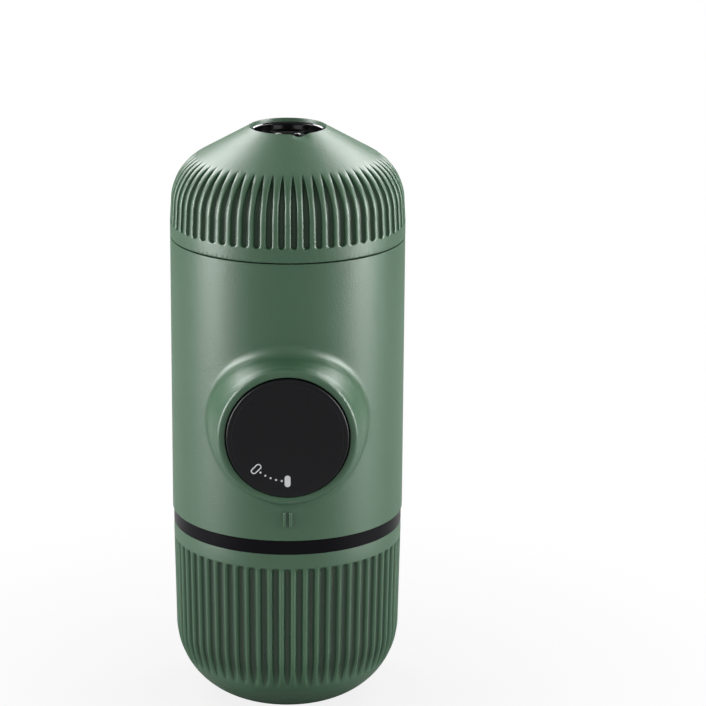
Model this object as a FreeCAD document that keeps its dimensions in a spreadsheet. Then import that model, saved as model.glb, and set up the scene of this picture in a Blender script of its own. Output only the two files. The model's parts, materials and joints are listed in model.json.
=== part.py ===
"""Handheld manual espresso maker, stored upright with its cup on the water tank. Millimetres, +Z up.

The origin is on the maker's axis at the cup's foot, and the knob faces -Y.
"""
import FreeCAD, Part
import os
from math import hypot

import Sketcher
from FreeCAD import Placement, Rotation, Vector

# Driving sizes: each one is a cell of the sheet, and every feature below is bound to these cells
SIZES = {
    # clearances
    "bond_gap": 0.12, "slip_gap": 0.3, "seal_gap": 0.15, "rest_gap": 0.02, "seal_seat": 0.05, "overcut": 1,
    # drinking cup
    "cup_height": 48.2, "cup_rim": 30.65, "cup_waist": 30.1, "cup_round": 20.95, "cup_round_top": 19.65,
    "cup_wall": 1.9, "cup_floor": 1.8,
    # flutes of the cup and of the portafilter
    "flute_count": 60, "flute_width": 1.95, "flute_depth": 0.9, "flute_reach": 3,
    "cup_flute_top": 43.1, "cup_flute_foot": 9.5,
    "head_flute_foot": 130.8, "head_flute_blend": 48, "head_flute_phase": 3,
    # water tank
    "tank_radius": 27.2, "tank_wall": 1.9, "tank_foot": 2.4, "tank_round": 17.6, "tank_rim": 60,
    "ring_seat_height": 44, "ring_wire": 0.95, "ring_radius": 27.3,
    "collar_radius": 30.6, "collar_height": 3.7, "tank_seal_bore": 24.9,
    # main shell and knob boss
    "shell_foot": 52.1, "shell_top": 126.7, "shell_radius": 30.9, "shell_top_radius": 31, "shell_wall": 1.9,
    "knob_height": 83, "boss_face": 39.2, "boss_rim": 18.2, "boss_mid": 20.3, "boss_mid_depth": 31,
    "boss_root": 21.2, "boss_back": 20, "boss_bore": 16.1, "boss_lip": 1, "boss_fillet": 3,
    # tank socket
    "socket_foot": 53, "plate_foot": 62, "plate_top": 65, "socket_wall": 1.25,
    # pump
    "frame_half_width": 14, "frame_front": 11.5, "frame_back": 13, "frame_window": 9,
    "cylinder_bore": 8.6, "cylinder_radius": 10.5, "cylinder_front": 17, "cylinder_flange": 0.8,
    "manifold_half_width": 10.9, "gasket_thickness": 0.7, "manifold_back": 26.4,
    "channel_radius": 3, "channel_back": 20, "outlet_way": 2.2,
    "tube_wall": 0.9, "tube_lift": 2, "filter_lift": 1.5, "filter_thickness": 0.5,
    "vent_across": 16, "umbrella_radius": 3.5, "umbrella_thickness": 0.8,
    "window_low_margin": 3, "window_high_margin": 4,
    "valve_inlet_height": 70, "valve_outlet_height": 94, "valve_length": 4, "valve_lip": 0.5,
    "washer_thickness": 1.4, "washer_overhang": 2,
    "rod_radius": 3.5, "piston_radius": 8.3, "piston_front": 4, "piston_back": 12, "seal_wire": 1,
    "rod_flange": 9, "rod_flange_front": 30.7, "rod_flange_back": 28.7,
    "spring_radius": 7, "spring_wire": 0.6,
    # knob, its sleeve and the guide
    "knob_radius": 15.8, "knob_face": 40, "knob_back": 36.3, "knob_round": 1.2,
    "sleeve_radius": 13.2, "sleeve_wall": 1.6, "sleeve_back": 12.3, "web_front": 33, "web_back": 31,
    "lug_radius": 14.6, "lug_height": 1.2, "lug_span": 40, "lug_play": 4, "lug_root": 1,
    "guide_front": 35.6, "guide_stop": 31.8, "guide_bore": 15, "ledge_height": 1.1, "knob_turn": 45,
    # brew head
    "head_plate_foot": 108.5, "head_plate_top": 112.2, "spigot_radius": 26.5, "spigot_bore": 24.7,
    "spigot_top": 125, "chamber_radius": 16, "chamber_depth": 1.5,
    "shower_radius": 21.2, "shower_height": 0.8, "brew_seal_bore": 21.6, "brew_seal_height": 1.6,
    # basket and scoop
    "basket_radius": 23.2, "basket_wall": 0.5, "basket_rim": 24.3, "basket_top": 130.9,
    "scoop_radius": 21, "scoop_wall": 1.3, "scoop_top": 128.6,
    "grip_drop": 6, "grip_half": 0.7, "grip_end": 1,
    # portafilter
    "head_foot": 127, "head_step": 131, "head_waist": 30.7, "head_waist_height": 136.2,
    "shoulder_round": 14, "cone_slope": 29.4, "mouth_radius": 10.05, "head_wall": 2.1,
    "core_foot": 118, "core_bore": 26.9, "core_top": 145, "funnel_radius": 21.5, "funnel_top": 138.5,
    "gasket_height": 1.2, "gasket_bore": 21.9, "gasket_radius": 26.4,
    "socket_radius": 6.5, "nozzle_foot": 140.5, "nozzle_bore": 2.3, "nozzle_skirt": 9.2,
    "nozzle_spout": 4.6, "nozzle_top": 153.6, "nozzle_skirt_top": 148, "outlet_radius": 3.2,
    "core_step": 0.7, "funnel_lip": 1.5, "flute_clear": 0.2,
    "ring_groove_depth": 1.1, "ring_groove_low": 1.3, "ring_groove_high": 2.9,
    "nozzle_ring_wire": 0.65, "nozzle_ring_inset": 0.75,
    # small hardware
    "screw_radius": 1.2, "screw_head": 2.2, "screw_head_height": 1.3, "screw_length": 9,
    "screw_across": 10, "screw_front": 7.5, "screw_back": 9,
    "manifold_screw_across": 5, "manifold_screw_low": 68.5, "manifold_screw_high": 106,
    "manifold_screw_length": 18,
}

doc = FreeCAD.newDocument("espresso_maker")
sheet = doc.addObject("Spreadsheet::Sheet", "of")
for row, (alias, number) in enumerate(SIZES.items(), start=1):
    sheet.set(f"A{row}", alias)
    sheet.set(f"B{row}", str(number))
    sheet.setAlias(f"B{row}", alias)
doc.recompute()

PARTS = []


def number(expression):
    """What an expression on the sheet's cells comes to."""
    return float(sheet.evalExpression(expression.replace("of.", "")))


def bind(thing, **sizes):
    """Tie properties of an object to the sheet."""
    for name, expression in sizes.items():
        thing.setExpression(name.replace("__", "."), expression)


# Sketches
def new_body(name):
    body = doc.addObject("PartDesign::Body", name)
    body.Label = name
    PARTS.append(body)
    return body


def origin_of(body, role):
    return next(f for f in body.Origin.OriginFeatures if f.Role == role)


def new_sketch(body, name, plane="XZ_Plane", up=None, out=None):
    """A sketch on one of the body's own planes, moved up its own Y or out along its normal."""
    sketch = body.newObject("Sketcher::SketchObject", name)
    sketch.AttachmentSupport = [(origin_of(body, plane), "")]
    sketch.MapMode = "FlatFace"
    if up:
        sketch.setExpression(".AttachmentOffset.Base.y", up)
    if out:
        sketch.setExpression(".AttachmentOffset.Base.z", out)
    return sketch


def arc_centre(start, end, radius, turn):
    """The centre of the arc from start to end. turn is 1 for anticlockwise and -1 for clockwise."""
    half = Vector(end.x - start.x, end.y - start.y, 0) * 0.5
    rise = (max(radius ** 2 - half.Length ** 2, 0)) ** 0.5
    across = Vector(-half.y, half.x, 0).normalize() * rise * turn
    return start + half + across


def outline(sketch, points):
    """A closed outline through points (x, y) or, for an arc that ends there, (x, y, radius, turn)."""
    first = sketch.GeometryCount
    spots = [Vector(number(p[0]), number(p[1]), 0) for p in points]
    tips = []
    for i, point in enumerate(points):
        start, end = spots[i - 1], spots[i]
        clockwise = len(point) == 4 and point[3] < 0
        tips.append((2, 1) if clockwise else (1, 2))
        if len(point) == 2:
            sketch.addGeometry(Part.LineSegment(start, end), False)
            continue
        radius, turn = number(point[2]), point[3]
        curve = Part.Circle(arc_centre(start, end, radius, turn), Vector(0, 0, 1), radius)
        low, high = (end, start) if clockwise else (start, end)
        arc = Part.ArcOfCircle(curve, curve.parameter(low), curve.parameter(high))
        sketch.addGeometry(arc, False)
    for i, point in enumerate(points):
        later = (i + 1) % len(points)
        joint = ("Coincident", first + i, tips[i][1], first + later, tips[later][0])
        sketch.addConstraint(Sketcher.Constraint(*joint))
    for i, point in enumerate(points):
        for axis, expression in zip(("DistanceX", "DistanceY"), point):
            tie(sketch, expression, axis, -1, 1, first + i, tips[i][1])
        if len(point) == 4:
            tie(sketch, point[2], "Radius", first + i)
    return sketch


def tie(sketch, expression, *constraint):
    """A constraint whose size is bound to an expression."""
    index = sketch.addConstraint(Sketcher.Constraint(*constraint, number(expression)))
    sketch.setExpression(f"Constraints[{index}]", expression)


def circle(sketch, x, y, radius):
    """A circle placed and sized by expressions."""
    spot = Vector(number(x), number(y), 0)
    i = sketch.addGeometry(Part.Circle(spot, Vector(0, 0, 1), number(radius)), False)
    tie(sketch, x, "DistanceX", -1, 1, i, 3)
    tie(sketch, y, "DistanceY", -1, 1, i, 3)
    tie(sketch, radius, "Radius", i)
    return sketch


def rectangle(sketch, left, low, right, high):
    return outline(sketch, [(left, low), (right, low), (right, high), (left, high)])


# Features
def volume(body):
    doc.recompute()
    return body.Shape.Volume


def turned(body, name, points, cut=False, along_y=False, up=None):
    """A Revolution or Groove: about Z from points (radius, z), or about Y from points (y, radius)."""
    plane, axis = ("YZ_Plane", "H_Axis") if along_y else ("XZ_Plane", "V_Axis")
    sketch = outline(new_sketch(body, name + "_profile", plane, up=up), points)
    before = volume(body) if cut else 0
    feature = body.newObject("PartDesign::Groove" if cut else "PartDesign::Revolution", name)
    feature.Profile = sketch
    feature.ReferenceAxis = (sketch, [axis])
    feature.Angle = 360
    check_cut(body, name, before, cut)
    return feature


def extruded(body, name, sketch, length, cut=False, both=False, back=False):
    """A Pad or Pocket of a sketch: one way, the other way, or half to each side."""
    before = volume(body) if cut else 0
    feature = body.newObject("PartDesign::Pocket" if cut else "PartDesign::Pad", name)
    feature.Profile = sketch
    feature.Type = "Length"
    feature.setExpression("Length", length)
    if both:
        feature.Midplane = True
    feature.Reversed = back
    check_cut(body, name, before, cut)
    return feature


def check_cut(body, name, before, cut):
    """A cut that points away from the solid removes nothing and shows no error, so it stops here."""
    after = volume(body)
    if cut and not after < before - 1e-6:
        raise RuntimeError(f"{name} of {body.Label} cuts nothing")


def around(body, name, features, count):
    """A polar pattern of features about the body's Z axis."""
    pattern = body.newObject("PartDesign::PolarPattern", name)
    pattern.Originals = features
    pattern.Axis = (origin_of(body, "Z_Axis"), [""])
    pattern.Angle = 360
    pattern.setExpression("Occurrences", count)
    body.Tip = pattern
    doc.recompute()
    return pattern


def edges(shape, wanted):
    """Names of the edges whose points all pass the test."""
    found = []
    for i, edge in enumerate(shape.Edges, start=1):
        if all(wanted(p) for p in edge.discretize(9)):
            found.append(f"Edge{i}")
    return found


def rounded(body, name, base, wanted, radius):
    """A Fillet of the base feature's edges that pass the test."""
    fillet = body.newObject("PartDesign::Fillet", name)
    fillet.Base = (base, edges(base.Shape, wanted))
    fillet.setExpression("Radius", radius)
    doc.recompute()
    return fillet


def torus(name, ring, wire, z=None, y=None):
    """An o-ring about Z at height z, or about Y at depth y on the pump's axis."""
    part = doc.addObject("Part::Torus", name)
    part.Label = name
    bind(part, Radius1=ring, Radius2=wire)
    if y:
        part.Placement = Placement(Vector(), Rotation(Vector(1, 0, 0), 90))
        part.setExpression(".Placement.Base.y", y)
    part.setExpression(".Placement.Base.z", z)
    PARTS.append(part)
    return part


def washer(name, low, high, bore, radius):
    """A plain ring about Z."""
    body = new_body(name)
    turned(body, name + "_ring", [(bore, low), (radius, low), (radius, high), (bore, high)])
    return body


def group(name, solids):
    """Like screws that share a node: separate solids, which no single body can hold."""
    part = doc.addObject("Part::Feature", name)
    part.Label = name
    part.Shape = Part.makeCompound(solids)
    PARTS.append(part)
    return part


def screw(tip, way, length):
    """A screw from its head's underside at tip, its shank pointing along way."""
    shank = Part.makeCylinder(number("of.screw_radius"), length, tip, way)
    tall = number("of.screw_head_height")
    return shank.fuse(Part.makeCylinder(number("of.screw_head"), tall, tip - way * tall, way)).removeSplitter()


# Shared expressions
CUP_CENTRE = "(of.cup_waist - of.cup_round)"
CUP_FOOT = f"({CUP_CENTRE} + sqrt(of.cup_round^2 - of.cup_round_top^2))"
CUP_INNER = "(of.cup_round - of.cup_wall)"
CUP_WELL = f"({CUP_CENTRE} + sqrt({CUP_INNER}^2 - (of.cup_round_top - of.cup_floor)^2))"
TANK_BORE = "(of.tank_radius - of.tank_wall)"
SHELL_BORE = "(of.shell_radius - of.shell_wall)"
FIXED_RADIUS = f"({SHELL_BORE} - of.bond_gap)"
SLOPE = "(of.cone_slope * 1 deg)"
SHOULDER_CENTRE = "(of.head_waist - of.shoulder_round)"
BASKET_FOOT = "(of.head_plate_top + of.brew_seal_height + of.seal_gap)"
GASKET_FOOT = "(of.basket_top + of.slip_gap)"
CORE_SEAT = f"({GASKET_FOOT} + of.gasket_height + of.slip_gap)"
NOZZLE_FLANGE = "(of.socket_radius - of.bond_gap)"


def drinking_cup():
    """A cup with a rounded foot and flutes cut into its wall; a flute faces the front."""
    body = new_body("drinking_cup")
    turned(body, "cup_wall_and_floor", [
        ("0", "0"),
        (CUP_FOOT, "0"),
        ("of.cup_waist", "of.cup_round_top", "of.cup_round", 1),
        ("of.cup_rim", "of.cup_height"),
        ("of.cup_rim - of.cup_wall", "of.cup_height"),
        ("of.cup_waist - of.cup_wall", "of.cup_round_top"),
        (CUP_WELL, "of.cup_floor", CUP_INNER, -1),
        ("0", "of.cup_floor"),
    ])
    bottom = "(of.cup_waist - of.flute_depth)"
    rise = "(of.cup_round_top - of.cup_flute_foot)"
    low = f"({CUP_CENTRE} + sqrt((of.cup_round - of.flute_depth)^2 - {rise}^2))"
    out = "(of.cup_rim + of.flute_reach)"
    flute = outline(new_sketch(body, "flute_profile"), [
        (out, "of.cup_flute_foot - of.flute_reach"),
        (out, "of.cup_flute_top"),
        ("of.cup_rim", "of.cup_flute_top"),
        (bottom, "of.cup_flute_top - 2 * of.flute_depth"),
        (bottom, "of.cup_round_top"),
        (low, "of.cup_flute_foot", "of.cup_round - of.flute_depth", -1),
    ])
    cut = extruded(body, "flute", flute, "of.flute_width", cut=True, both=True)
    around(body, "flutes", [cut], "of.flute_count")


def water_tank():
    """The tank: a cup with a round foot, a seat for the cup's ring and a plain neck for the socket."""
    body = new_body("water_tank")
    centre = "(of.tank_radius - of.tank_round)"
    inner = "(of.tank_round - of.tank_wall)"
    middle = "(of.tank_foot + of.tank_round)"
    turned(body, "tank_wall_and_floor", [
        ("0", "of.tank_foot"),
        (centre, "of.tank_foot"),
        ("of.tank_radius", middle, "of.tank_round", 1),
        ("of.tank_radius", "of.tank_rim"),
        (TANK_BORE, "of.tank_rim"),
        (TANK_BORE, middle),
        (centre, "of.tank_foot + of.tank_wall", inner, -1),
        ("0", "of.tank_foot + of.tank_wall"),
    ])
    seat = "(of.ring_radius - of.ring_wire - of.bond_gap)"
    low = "(of.ring_seat_height - of.ring_wire - of.bond_gap)"
    high = "(of.ring_seat_height + of.ring_wire + of.bond_gap)"
    out = "(of.tank_radius + of.flute_reach)"
    turned(body, "ring_seat", [(seat, low), (out, low), (out, high), (seat, high)], cut=True)
    torus("cup_o_ring", "of.ring_radius", "of.ring_wire", z="of.ring_seat_height")
    washer("tank_collar", "of.cup_height", "of.cup_height + of.collar_height",
           "of.tank_radius + of.bond_gap", "of.collar_radius")
    low = "(of.tank_rim + of.seal_gap)"
    washer("tank_seal", low, "of.plate_foot - of.seal_gap", "of.tank_seal_bore", "of.tank_radius")


def tank_socket():
    """The black socket over the tank's neck, and the plate that the pump stands on."""
    body = new_body("tank_socket")
    skirt = f"({FIXED_RADIUS} - of.socket_wall)"
    turned(body, "socket_skirt_and_plate", [
        (skirt, "of.socket_foot"),
        (FIXED_RADIUS, "of.socket_foot"),
        (FIXED_RADIUS, "of.plate_top"),
        ("0", "of.plate_top"),
        ("0", "of.plate_foot"),
        (skirt, "of.plate_foot"),
    ])
    thick = "of.plate_top - of.plate_foot"
    holes = new_sketch(body, "plate_holes", "XY_Plane", out="of.plate_foot")
    circle(holes, "0", "of.channel_back", "of.channel_radius + of.bond_gap")
    circle(holes, "0 - of.vent_across", "0", "of.screw_radius + of.bond_gap")
    for side in ("of.screw_across", "0 - of.screw_across"):
        for deep in ("0 - of.screw_front", "of.screw_back"):
            circle(holes, side, deep, "of.screw_radius + of.bond_gap")
    extruded(body, "holes", holes, thick, cut=True, back=True)


def suction_and_vent():
    """The short suction tube with its filter, and the umbrella valve that lets air into the tank."""
    tube = new_body("suction_tube")
    sketch = new_sketch(tube, "tube_ring", "XY_Plane", out="of.socket_foot + of.tube_lift")
    circle(sketch, "0", "of.channel_back", "of.channel_radius")
    circle(sketch, "0", "of.channel_back", "of.channel_radius - of.tube_wall")
    extruded(tube, "tube", sketch, "of.plate_top - of.socket_foot - of.tube_lift")
    mesh = new_body("suction_filter")
    sketch = new_sketch(mesh, "filter_disc", "XY_Plane", out="of.socket_foot + of.filter_lift")
    circle(sketch, "0", "of.channel_back", "of.channel_radius")
    extruded(mesh, "disc", sketch, "of.filter_thickness")
    vent = new_body("vent_valve")
    sketch = new_sketch(vent, "umbrella_outline", "XY_Plane", out="of.plate_foot - of.umbrella_thickness")
    circle(sketch, "0 - of.vent_across", "0", "of.umbrella_radius")
    extruded(vent, "umbrella", sketch, "of.umbrella_thickness")
    sketch = new_sketch(vent, "stem_outline", "XY_Plane", out="of.plate_foot")
    circle(sketch, "0 - of.vent_across", "0", "of.screw_radius")
    extruded(vent, "stem", sketch, "of.plate_top - of.plate_foot + of.overcut")


def body_shell():
    """The main shell: a drafted tube with the round knob boss blended into its front."""
    body = new_body("body_shell")
    turned(body, "outer_form", [
        ("0", "of.shell_foot"),
        ("of.shell_radius", "of.shell_foot"),
        ("of.shell_top_radius", "of.shell_top"),
        ("0", "of.shell_top"),
    ])
    boss = turned(body, "knob_boss", [
        ("0 - of.boss_face", "0"),
        ("0 - of.boss_back", "0"),
        ("0 - of.boss_back", "of.boss_root"),
        ("0 - of.boss_mid_depth", "of.boss_mid"),
        ("0 - of.boss_face", "of.boss_rim"),
    ], along_y=True, up="of.knob_height")
    knob_z, root = number("of.knob_height"), number("of.shell_radius")

    def at_boss_root(p):
        off_axis = hypot(p.x, p.z - knob_z)
        return p.y < 0 and abs(hypot(p.x, p.y) - root) < 0.2 and off_axis < number("of.boss_root") + 1

    blend = rounded(body, "boss_blend", boss, at_boss_root, "of.boss_fillet")
    face = -number("of.boss_face")
    rounded(body, "boss_lip_round", blend, lambda p: abs(p.y - face) < 0.01, "of.boss_lip")
    turned(body, "inside", [
        ("0", "of.shell_foot - 1"),
        (SHELL_BORE, "of.shell_foot - 1"),
        (SHELL_BORE, "of.shell_top + 1"),
        ("0", "of.shell_top + 1"),
    ], cut=True)
    turned(body, "boss_bore_cut", [
        ("0 - of.boss_face - 1", "0"),
        ("0 - of.boss_back", "0"),
        ("0 - of.boss_back", "of.boss_bore"),
        ("0 - of.boss_face - 1", "of.boss_bore"),
    ], cut=True, along_y=True, up="of.knob_height")


def pump_frame():
    """The chassis block between the plates, bored for the cylinder and opened at its sides."""
    body = new_body("pump_frame")
    foot = new_sketch(body, "frame_foot", "XY_Plane", out="of.plate_top")
    rectangle(foot, "0 - of.frame_half_width", "0 - of.frame_front", "of.frame_half_width", "of.frame_back")
    extruded(body, "block", foot, "of.head_plate_foot - of.plate_top")
    turned(body, "cylinder_bore_cut", [
        ("0 - of.frame_front - 1", "0"),
        ("of.frame_back + 1", "0"),
        ("of.frame_back + 1", "of.cylinder_radius + of.bond_gap"),
        ("0 - of.frame_front - 1", "of.cylinder_radius + of.bond_gap"),
    ], cut=True, along_y=True, up="of.knob_height")
    window = new_sketch(body, "upper_window", "XZ_Plane")
    low = "(of.knob_height + of.cylinder_radius + of.window_low_margin)"
    high = "(of.head_plate_foot - of.window_high_margin)"
    rectangle(window, "0 - of.frame_window", low, "of.frame_window", high)
    extruded(body, "window_cut", window, "(of.frame_front + of.frame_back + of.overcut) * 2", cut=True, both=True)
    clearance = new_sketch(body, "screw_holes", "XY_Plane", out="of.plate_top - 1")
    for side in ("of.screw_across", "0 - of.screw_across"):
        for deep in ("0 - of.screw_front", "of.screw_back"):
            circle(clearance, side, deep, "of.screw_radius + of.bond_gap")
    tall = "of.head_plate_foot - of.plate_top + of.overcut * 2"
    extruded(body, "screw_hole_cut", clearance, tall, cut=True, back=True)
    manifold_holes(body)


def manifold_holes(body):
    """The four holes along Y for the screws that hold the manifold to the frame."""
    holes = new_sketch(body, "manifold_screw_holes", "XZ_Plane")
    for side in ("of.manifold_screw_across", "0 - of.manifold_screw_across"):
        for high in ("of.manifold_screw_low", "of.manifold_screw_high"):
            circle(holes, side, high, "of.screw_radius + of.bond_gap")
    extruded(body, "manifold_hole_cut", holes, "(of.manifold_back + of.overcut) * 2", cut=True, both=True)


def pump_cylinder():
    """The cylinder, a lipped tube along Y, with its seal at the manifold."""
    body = new_body("pump_cylinder")
    back = "(of.frame_back + 1)"
    turned(body, "tube", [
        ("0 - of.cylinder_front", "of.cylinder_bore"),
        (back, "of.cylinder_bore"),
        (back, "of.cylinder_radius"),
        ("0 - of.frame_front - of.bond_gap", "of.cylinder_radius"),
        ("0 - of.frame_front - of.bond_gap", "of.cylinder_radius + of.cylinder_flange"),
        ("0 - of.cylinder_front", "of.cylinder_radius + of.cylinder_flange"),
    ], along_y=True, up="of.knob_height")
    seal = new_body("cylinder_seal")
    turned(seal, "flat_ring", [
        (f"{back} + of.rest_gap", "of.cylinder_bore"),
        (f"{back} + of.gasket_thickness", "of.cylinder_bore"),
        (f"{back} + of.gasket_thickness", "of.cylinder_radius"),
        (f"{back} + of.rest_gap", "of.cylinder_radius"),
    ], along_y=True, up="of.knob_height")


def valve_manifold():
    """The back block with the water's way up from the tank to the brew head, past two valves."""
    body = new_body("valve_manifold")
    front = "(of.frame_back + 1 + of.gasket_thickness + of.rest_gap)"
    foot = new_sketch(body, "manifold_foot", "XY_Plane", out="of.plate_top")
    rectangle(foot, "0 - of.manifold_half_width", front, "of.manifold_half_width", "of.manifold_back")
    extruded(body, "block", foot, "of.head_plate_foot - of.plate_top")
    way = new_sketch(body, "riser_outline", "XY_Plane", out="of.plate_top - 1")
    circle(way, "0", "of.channel_back", "of.channel_radius")
    extruded(body, "riser", way, "of.head_plate_foot - of.plate_top + of.overcut * 2", cut=True, back=True)
    turned(body, "cylinder_port", [
        (front + " - 1", "0"),
        ("of.channel_back", "0"),
        ("of.channel_back", "of.channel_radius"),
        (front + " - 1", "of.channel_radius"),
    ], cut=True, along_y=True, up="of.knob_height")
    manifold_holes(body)
    for name, foot in (("inlet_valve", "of.valve_inlet_height"), ("outlet_valve", "of.valve_outlet_height")):
        valve = new_body(name)
        sketch = new_sketch(valve, name + "_outline", "XY_Plane", out=foot)
        circle(sketch, "0", "of.channel_back", "of.channel_radius - of.bond_gap")
        extruded(valve, "seat", sketch, "of.valve_length / 2")
        sketch = new_sketch(valve, name + "_lips", "XY_Plane", out=f"{foot} + of.valve_length / 2")
        rectangle(sketch, "0 - of.channel_radius / 2", "of.channel_back - of.valve_lip", "of.channel_radius / 2",
                  "of.channel_back + of.valve_lip")
        extruded(valve, "lips", sketch, "of.valve_length / 2")


def plunger():
    """The rod with the spring's flange and the grooved piston head, its seal and its screw."""
    body = new_body("plunger")
    groove = "(of.cylinder_bore - of.seal_wire * 2 - of.seal_seat * 2)"
    middle = "((of.piston_front + of.piston_back) / 2)"
    turned(body, "rod_and_head", [
        ("0 - of.web_front - of.seal_gap", "0"),
        ("of.piston_back", "0"),
        ("of.piston_back", "of.piston_radius"),
        (f"{middle} + of.seal_wire + of.bond_gap", "of.piston_radius"),
        (f"{middle} + of.seal_wire + of.bond_gap", groove),
        (f"{middle} - of.seal_wire - of.bond_gap", groove),
        (f"{middle} - of.seal_wire - of.bond_gap", "of.piston_radius"),
        ("of.piston_front", "of.piston_radius"),
        ("of.piston_front", "of.rod_radius"),
        ("0 - of.rod_flange_back", "of.rod_radius"),
        ("0 - of.rod_flange_back", "of.rod_flange"),
        ("0 - of.rod_flange_front", "of.rod_flange"),
        ("0 - of.rod_flange_front", "of.rod_radius"),
        ("0 - of.web_front - of.seal_gap", "of.rod_radius"),
    ], along_y=True, up="of.knob_height")
    ring = "of.cylinder_bore - of.seal_wire - of.seal_seat"
    torus("piston_seal", ring, "of.seal_wire", z="of.knob_height", y=middle)
    head = new_body("piston_screw")
    back = "(0 - of.web_front - of.seal_gap)"
    turned(head, "washer_head", [
        (f"{back} - of.washer_thickness", "0"),
        (back, "0"),
        (back, "of.rod_radius + of.washer_overhang"),
        (f"{back} - of.washer_thickness", "of.rod_radius + of.washer_overhang"),
    ], along_y=True, up="of.knob_height")
    spring = new_body("return_spring")
    inner = "(of.spring_radius - of.spring_wire)"
    outer = "(of.spring_radius + of.spring_wire)"
    front = "(0 - of.rod_flange_back + of.seal_gap)"
    end = "(0 - of.cylinder_front - of.seal_gap)"
    turned(spring, "coil_space", [(front, inner), (end, inner), (end, outer), (front, outer)],
           along_y=True, up="of.knob_height")


def knob():
    """The knob's cap and its sleeve, whose two lugs lock behind the guide's ledge."""
    cap = new_body("knob_cap")
    disc = turned(cap, "disc", [
        ("0 - of.knob_face", "0"),
        ("0 - of.knob_back", "0"),
        ("0 - of.knob_back", "of.knob_radius"),
        ("0 - of.knob_face", "of.knob_radius"),
    ], along_y=True, up="of.knob_height")
    face = -number("of.knob_face")
    rounded(cap, "disc_round", disc, lambda p: abs(p.y - face) < 0.01, "of.knob_round")
    body = new_body("knob_sleeve")
    inner = "(of.sleeve_radius - of.sleeve_wall)"
    turned(body, "sleeve", [
        ("0 - of.knob_back", inner),
        ("0 - of.web_front", inner),
        ("0 - of.web_front", "of.rod_radius + of.slip_gap"),
        ("0 - of.web_back", "of.rod_radius + of.slip_gap"),
        ("0 - of.web_back", inner),
        ("0 - of.sleeve_back", inner),
        ("0 - of.sleeve_back", "of.sleeve_radius"),
        ("0 - of.knob_back", "of.sleeve_radius"),
    ], along_y=True, up="of.knob_height")
    lugs = new_sketch(body, "lug_outline", "XZ_Plane", up="of.knob_height", out="of.sleeve_back")
    lug_shape(lugs, "of.lug_radius", "of.lug_span", "of.sleeve_radius - of.sleeve_wall / 2")
    extruded(body, "lugs", lugs, "of.lug_height")


def lug_shape(sketch, radius, span, inner):
    """Two tabs or slots opposite each other, across the sketch's X axis."""
    radius = f"({radius})"
    tall = f"({radius} * sin(({span}) * 0.5 deg))"
    reach = f"({radius} * cos(({span}) * 0.5 deg))"
    root = f"(sqrt(({inner})^2 - {tall}^2))"
    outline(sketch, [
        (root, f"0 - {tall}"),
        (reach, f"0 - {tall}"),
        (reach, tall, radius, 1),
        (root, tall),
    ])
    outline(sketch, [
        (f"0 - {root}", tall),
        (f"0 - {reach}", tall),
        (f"0 - {reach}", f"0 - {tall}", radius, 1),
        (f"0 - {root}", f"0 - {tall}"),
    ])


def guide_sleeve():
    """The tube fixed in the boss that the knob slides in: front stop, free bore and slotted ledge."""
    body = new_body("guide_sleeve")
    outer = "(of.boss_bore - of.bond_gap)"
    running = "(of.sleeve_radius + of.slip_gap)"
    back = "(0 - of.sleeve_back - of.lug_height - of.slip_gap)"
    turned(body, "tube", [
        ("0 - of.guide_front", running),
        ("0 - of.guide_stop", running),
        ("0 - of.guide_stop", "of.guide_bore"),
        (f"{back} - of.ledge_height", "of.guide_bore"),
        (f"{back} - of.ledge_height", running),
        (back, running),
        (back, outer),
        ("0 - of.guide_front", outer),
    ], along_y=True, up="of.knob_height")
    slots = new_sketch(body, "slot_outline", "XZ_Plane", up="of.knob_height", out=f"0 - {back} - of.overcut / 2")
    slots.setExpression(".AttachmentOffset.Rotation.Angle", "of.knob_turn")
    lug_shape(slots, "of.lug_radius + of.slip_gap", "of.lug_span + of.lug_play", "of.sleeve_radius - of.lug_root")
    extruded(body, "lock_slots", slots, "of.ledge_height + 1", cut=True, back=True)


def brew_head():
    """The head with the spigot for the portafilter, its steel shower plate and the basket's seal."""
    body = new_body("brew_head")
    top = "of.head_plate_top"
    turned(body, "plate_and_spigot", [
        ("of.screw_radius + of.bond_gap", "of.head_plate_foot"),
        (FIXED_RADIUS, "of.head_plate_foot"),
        (FIXED_RADIUS, top),
        ("of.spigot_radius", top),
        ("of.spigot_radius", "of.spigot_top"),
        ("of.spigot_bore", "of.spigot_top"),
        ("of.spigot_bore", top),
        ("of.chamber_radius", top),
        ("of.chamber_radius", f"{top} - of.chamber_depth"),
        ("of.screw_radius + of.bond_gap", f"{top} - of.chamber_depth"),
    ])
    holes = new_sketch(body, "head_holes", "XY_Plane", out="of.head_plate_foot")
    for side in ("of.screw_across", "0 - of.screw_across"):
        for deep in ("0 - of.screw_front", "of.screw_back"):
            circle(holes, side, deep, "of.screw_radius + of.bond_gap")
    extruded(body, "hole_cut", holes, "of.head_plate_top - of.head_plate_foot", cut=True, back=True)
    way = new_sketch(body, "outlet_way", "XY_Plane", out="of.head_plate_foot")
    circle(way, "0", "of.channel_back", "of.outlet_way")
    extruded(body, "outlet_cut", way, "of.head_plate_top - of.head_plate_foot", cut=True, back=True)
    plate = new_body("shower_plate")
    foot = f"({top} + of.bond_gap)"
    turned(plate, "disc", [
        ("of.screw_radius + of.bond_gap", foot),
        ("of.shower_radius", foot),
        ("of.shower_radius", f"{foot} + of.shower_height"),
        ("of.screw_radius + of.bond_gap", f"{foot} + of.shower_height"),
    ])
    seat = BASKET_FOOT + " - of.bond_gap"
    washer("brew_seal", f"{top} + of.seal_seat", seat, "of.brew_seal_bore", "of.basket_rim")
    tip = Vector(0, 0, number(f"{foot} + of.shower_height + of.rest_gap"))
    group("shower_screw", [screw(tip, Vector(0, 0, -1), number("of.screw_length / 2"))])


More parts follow.
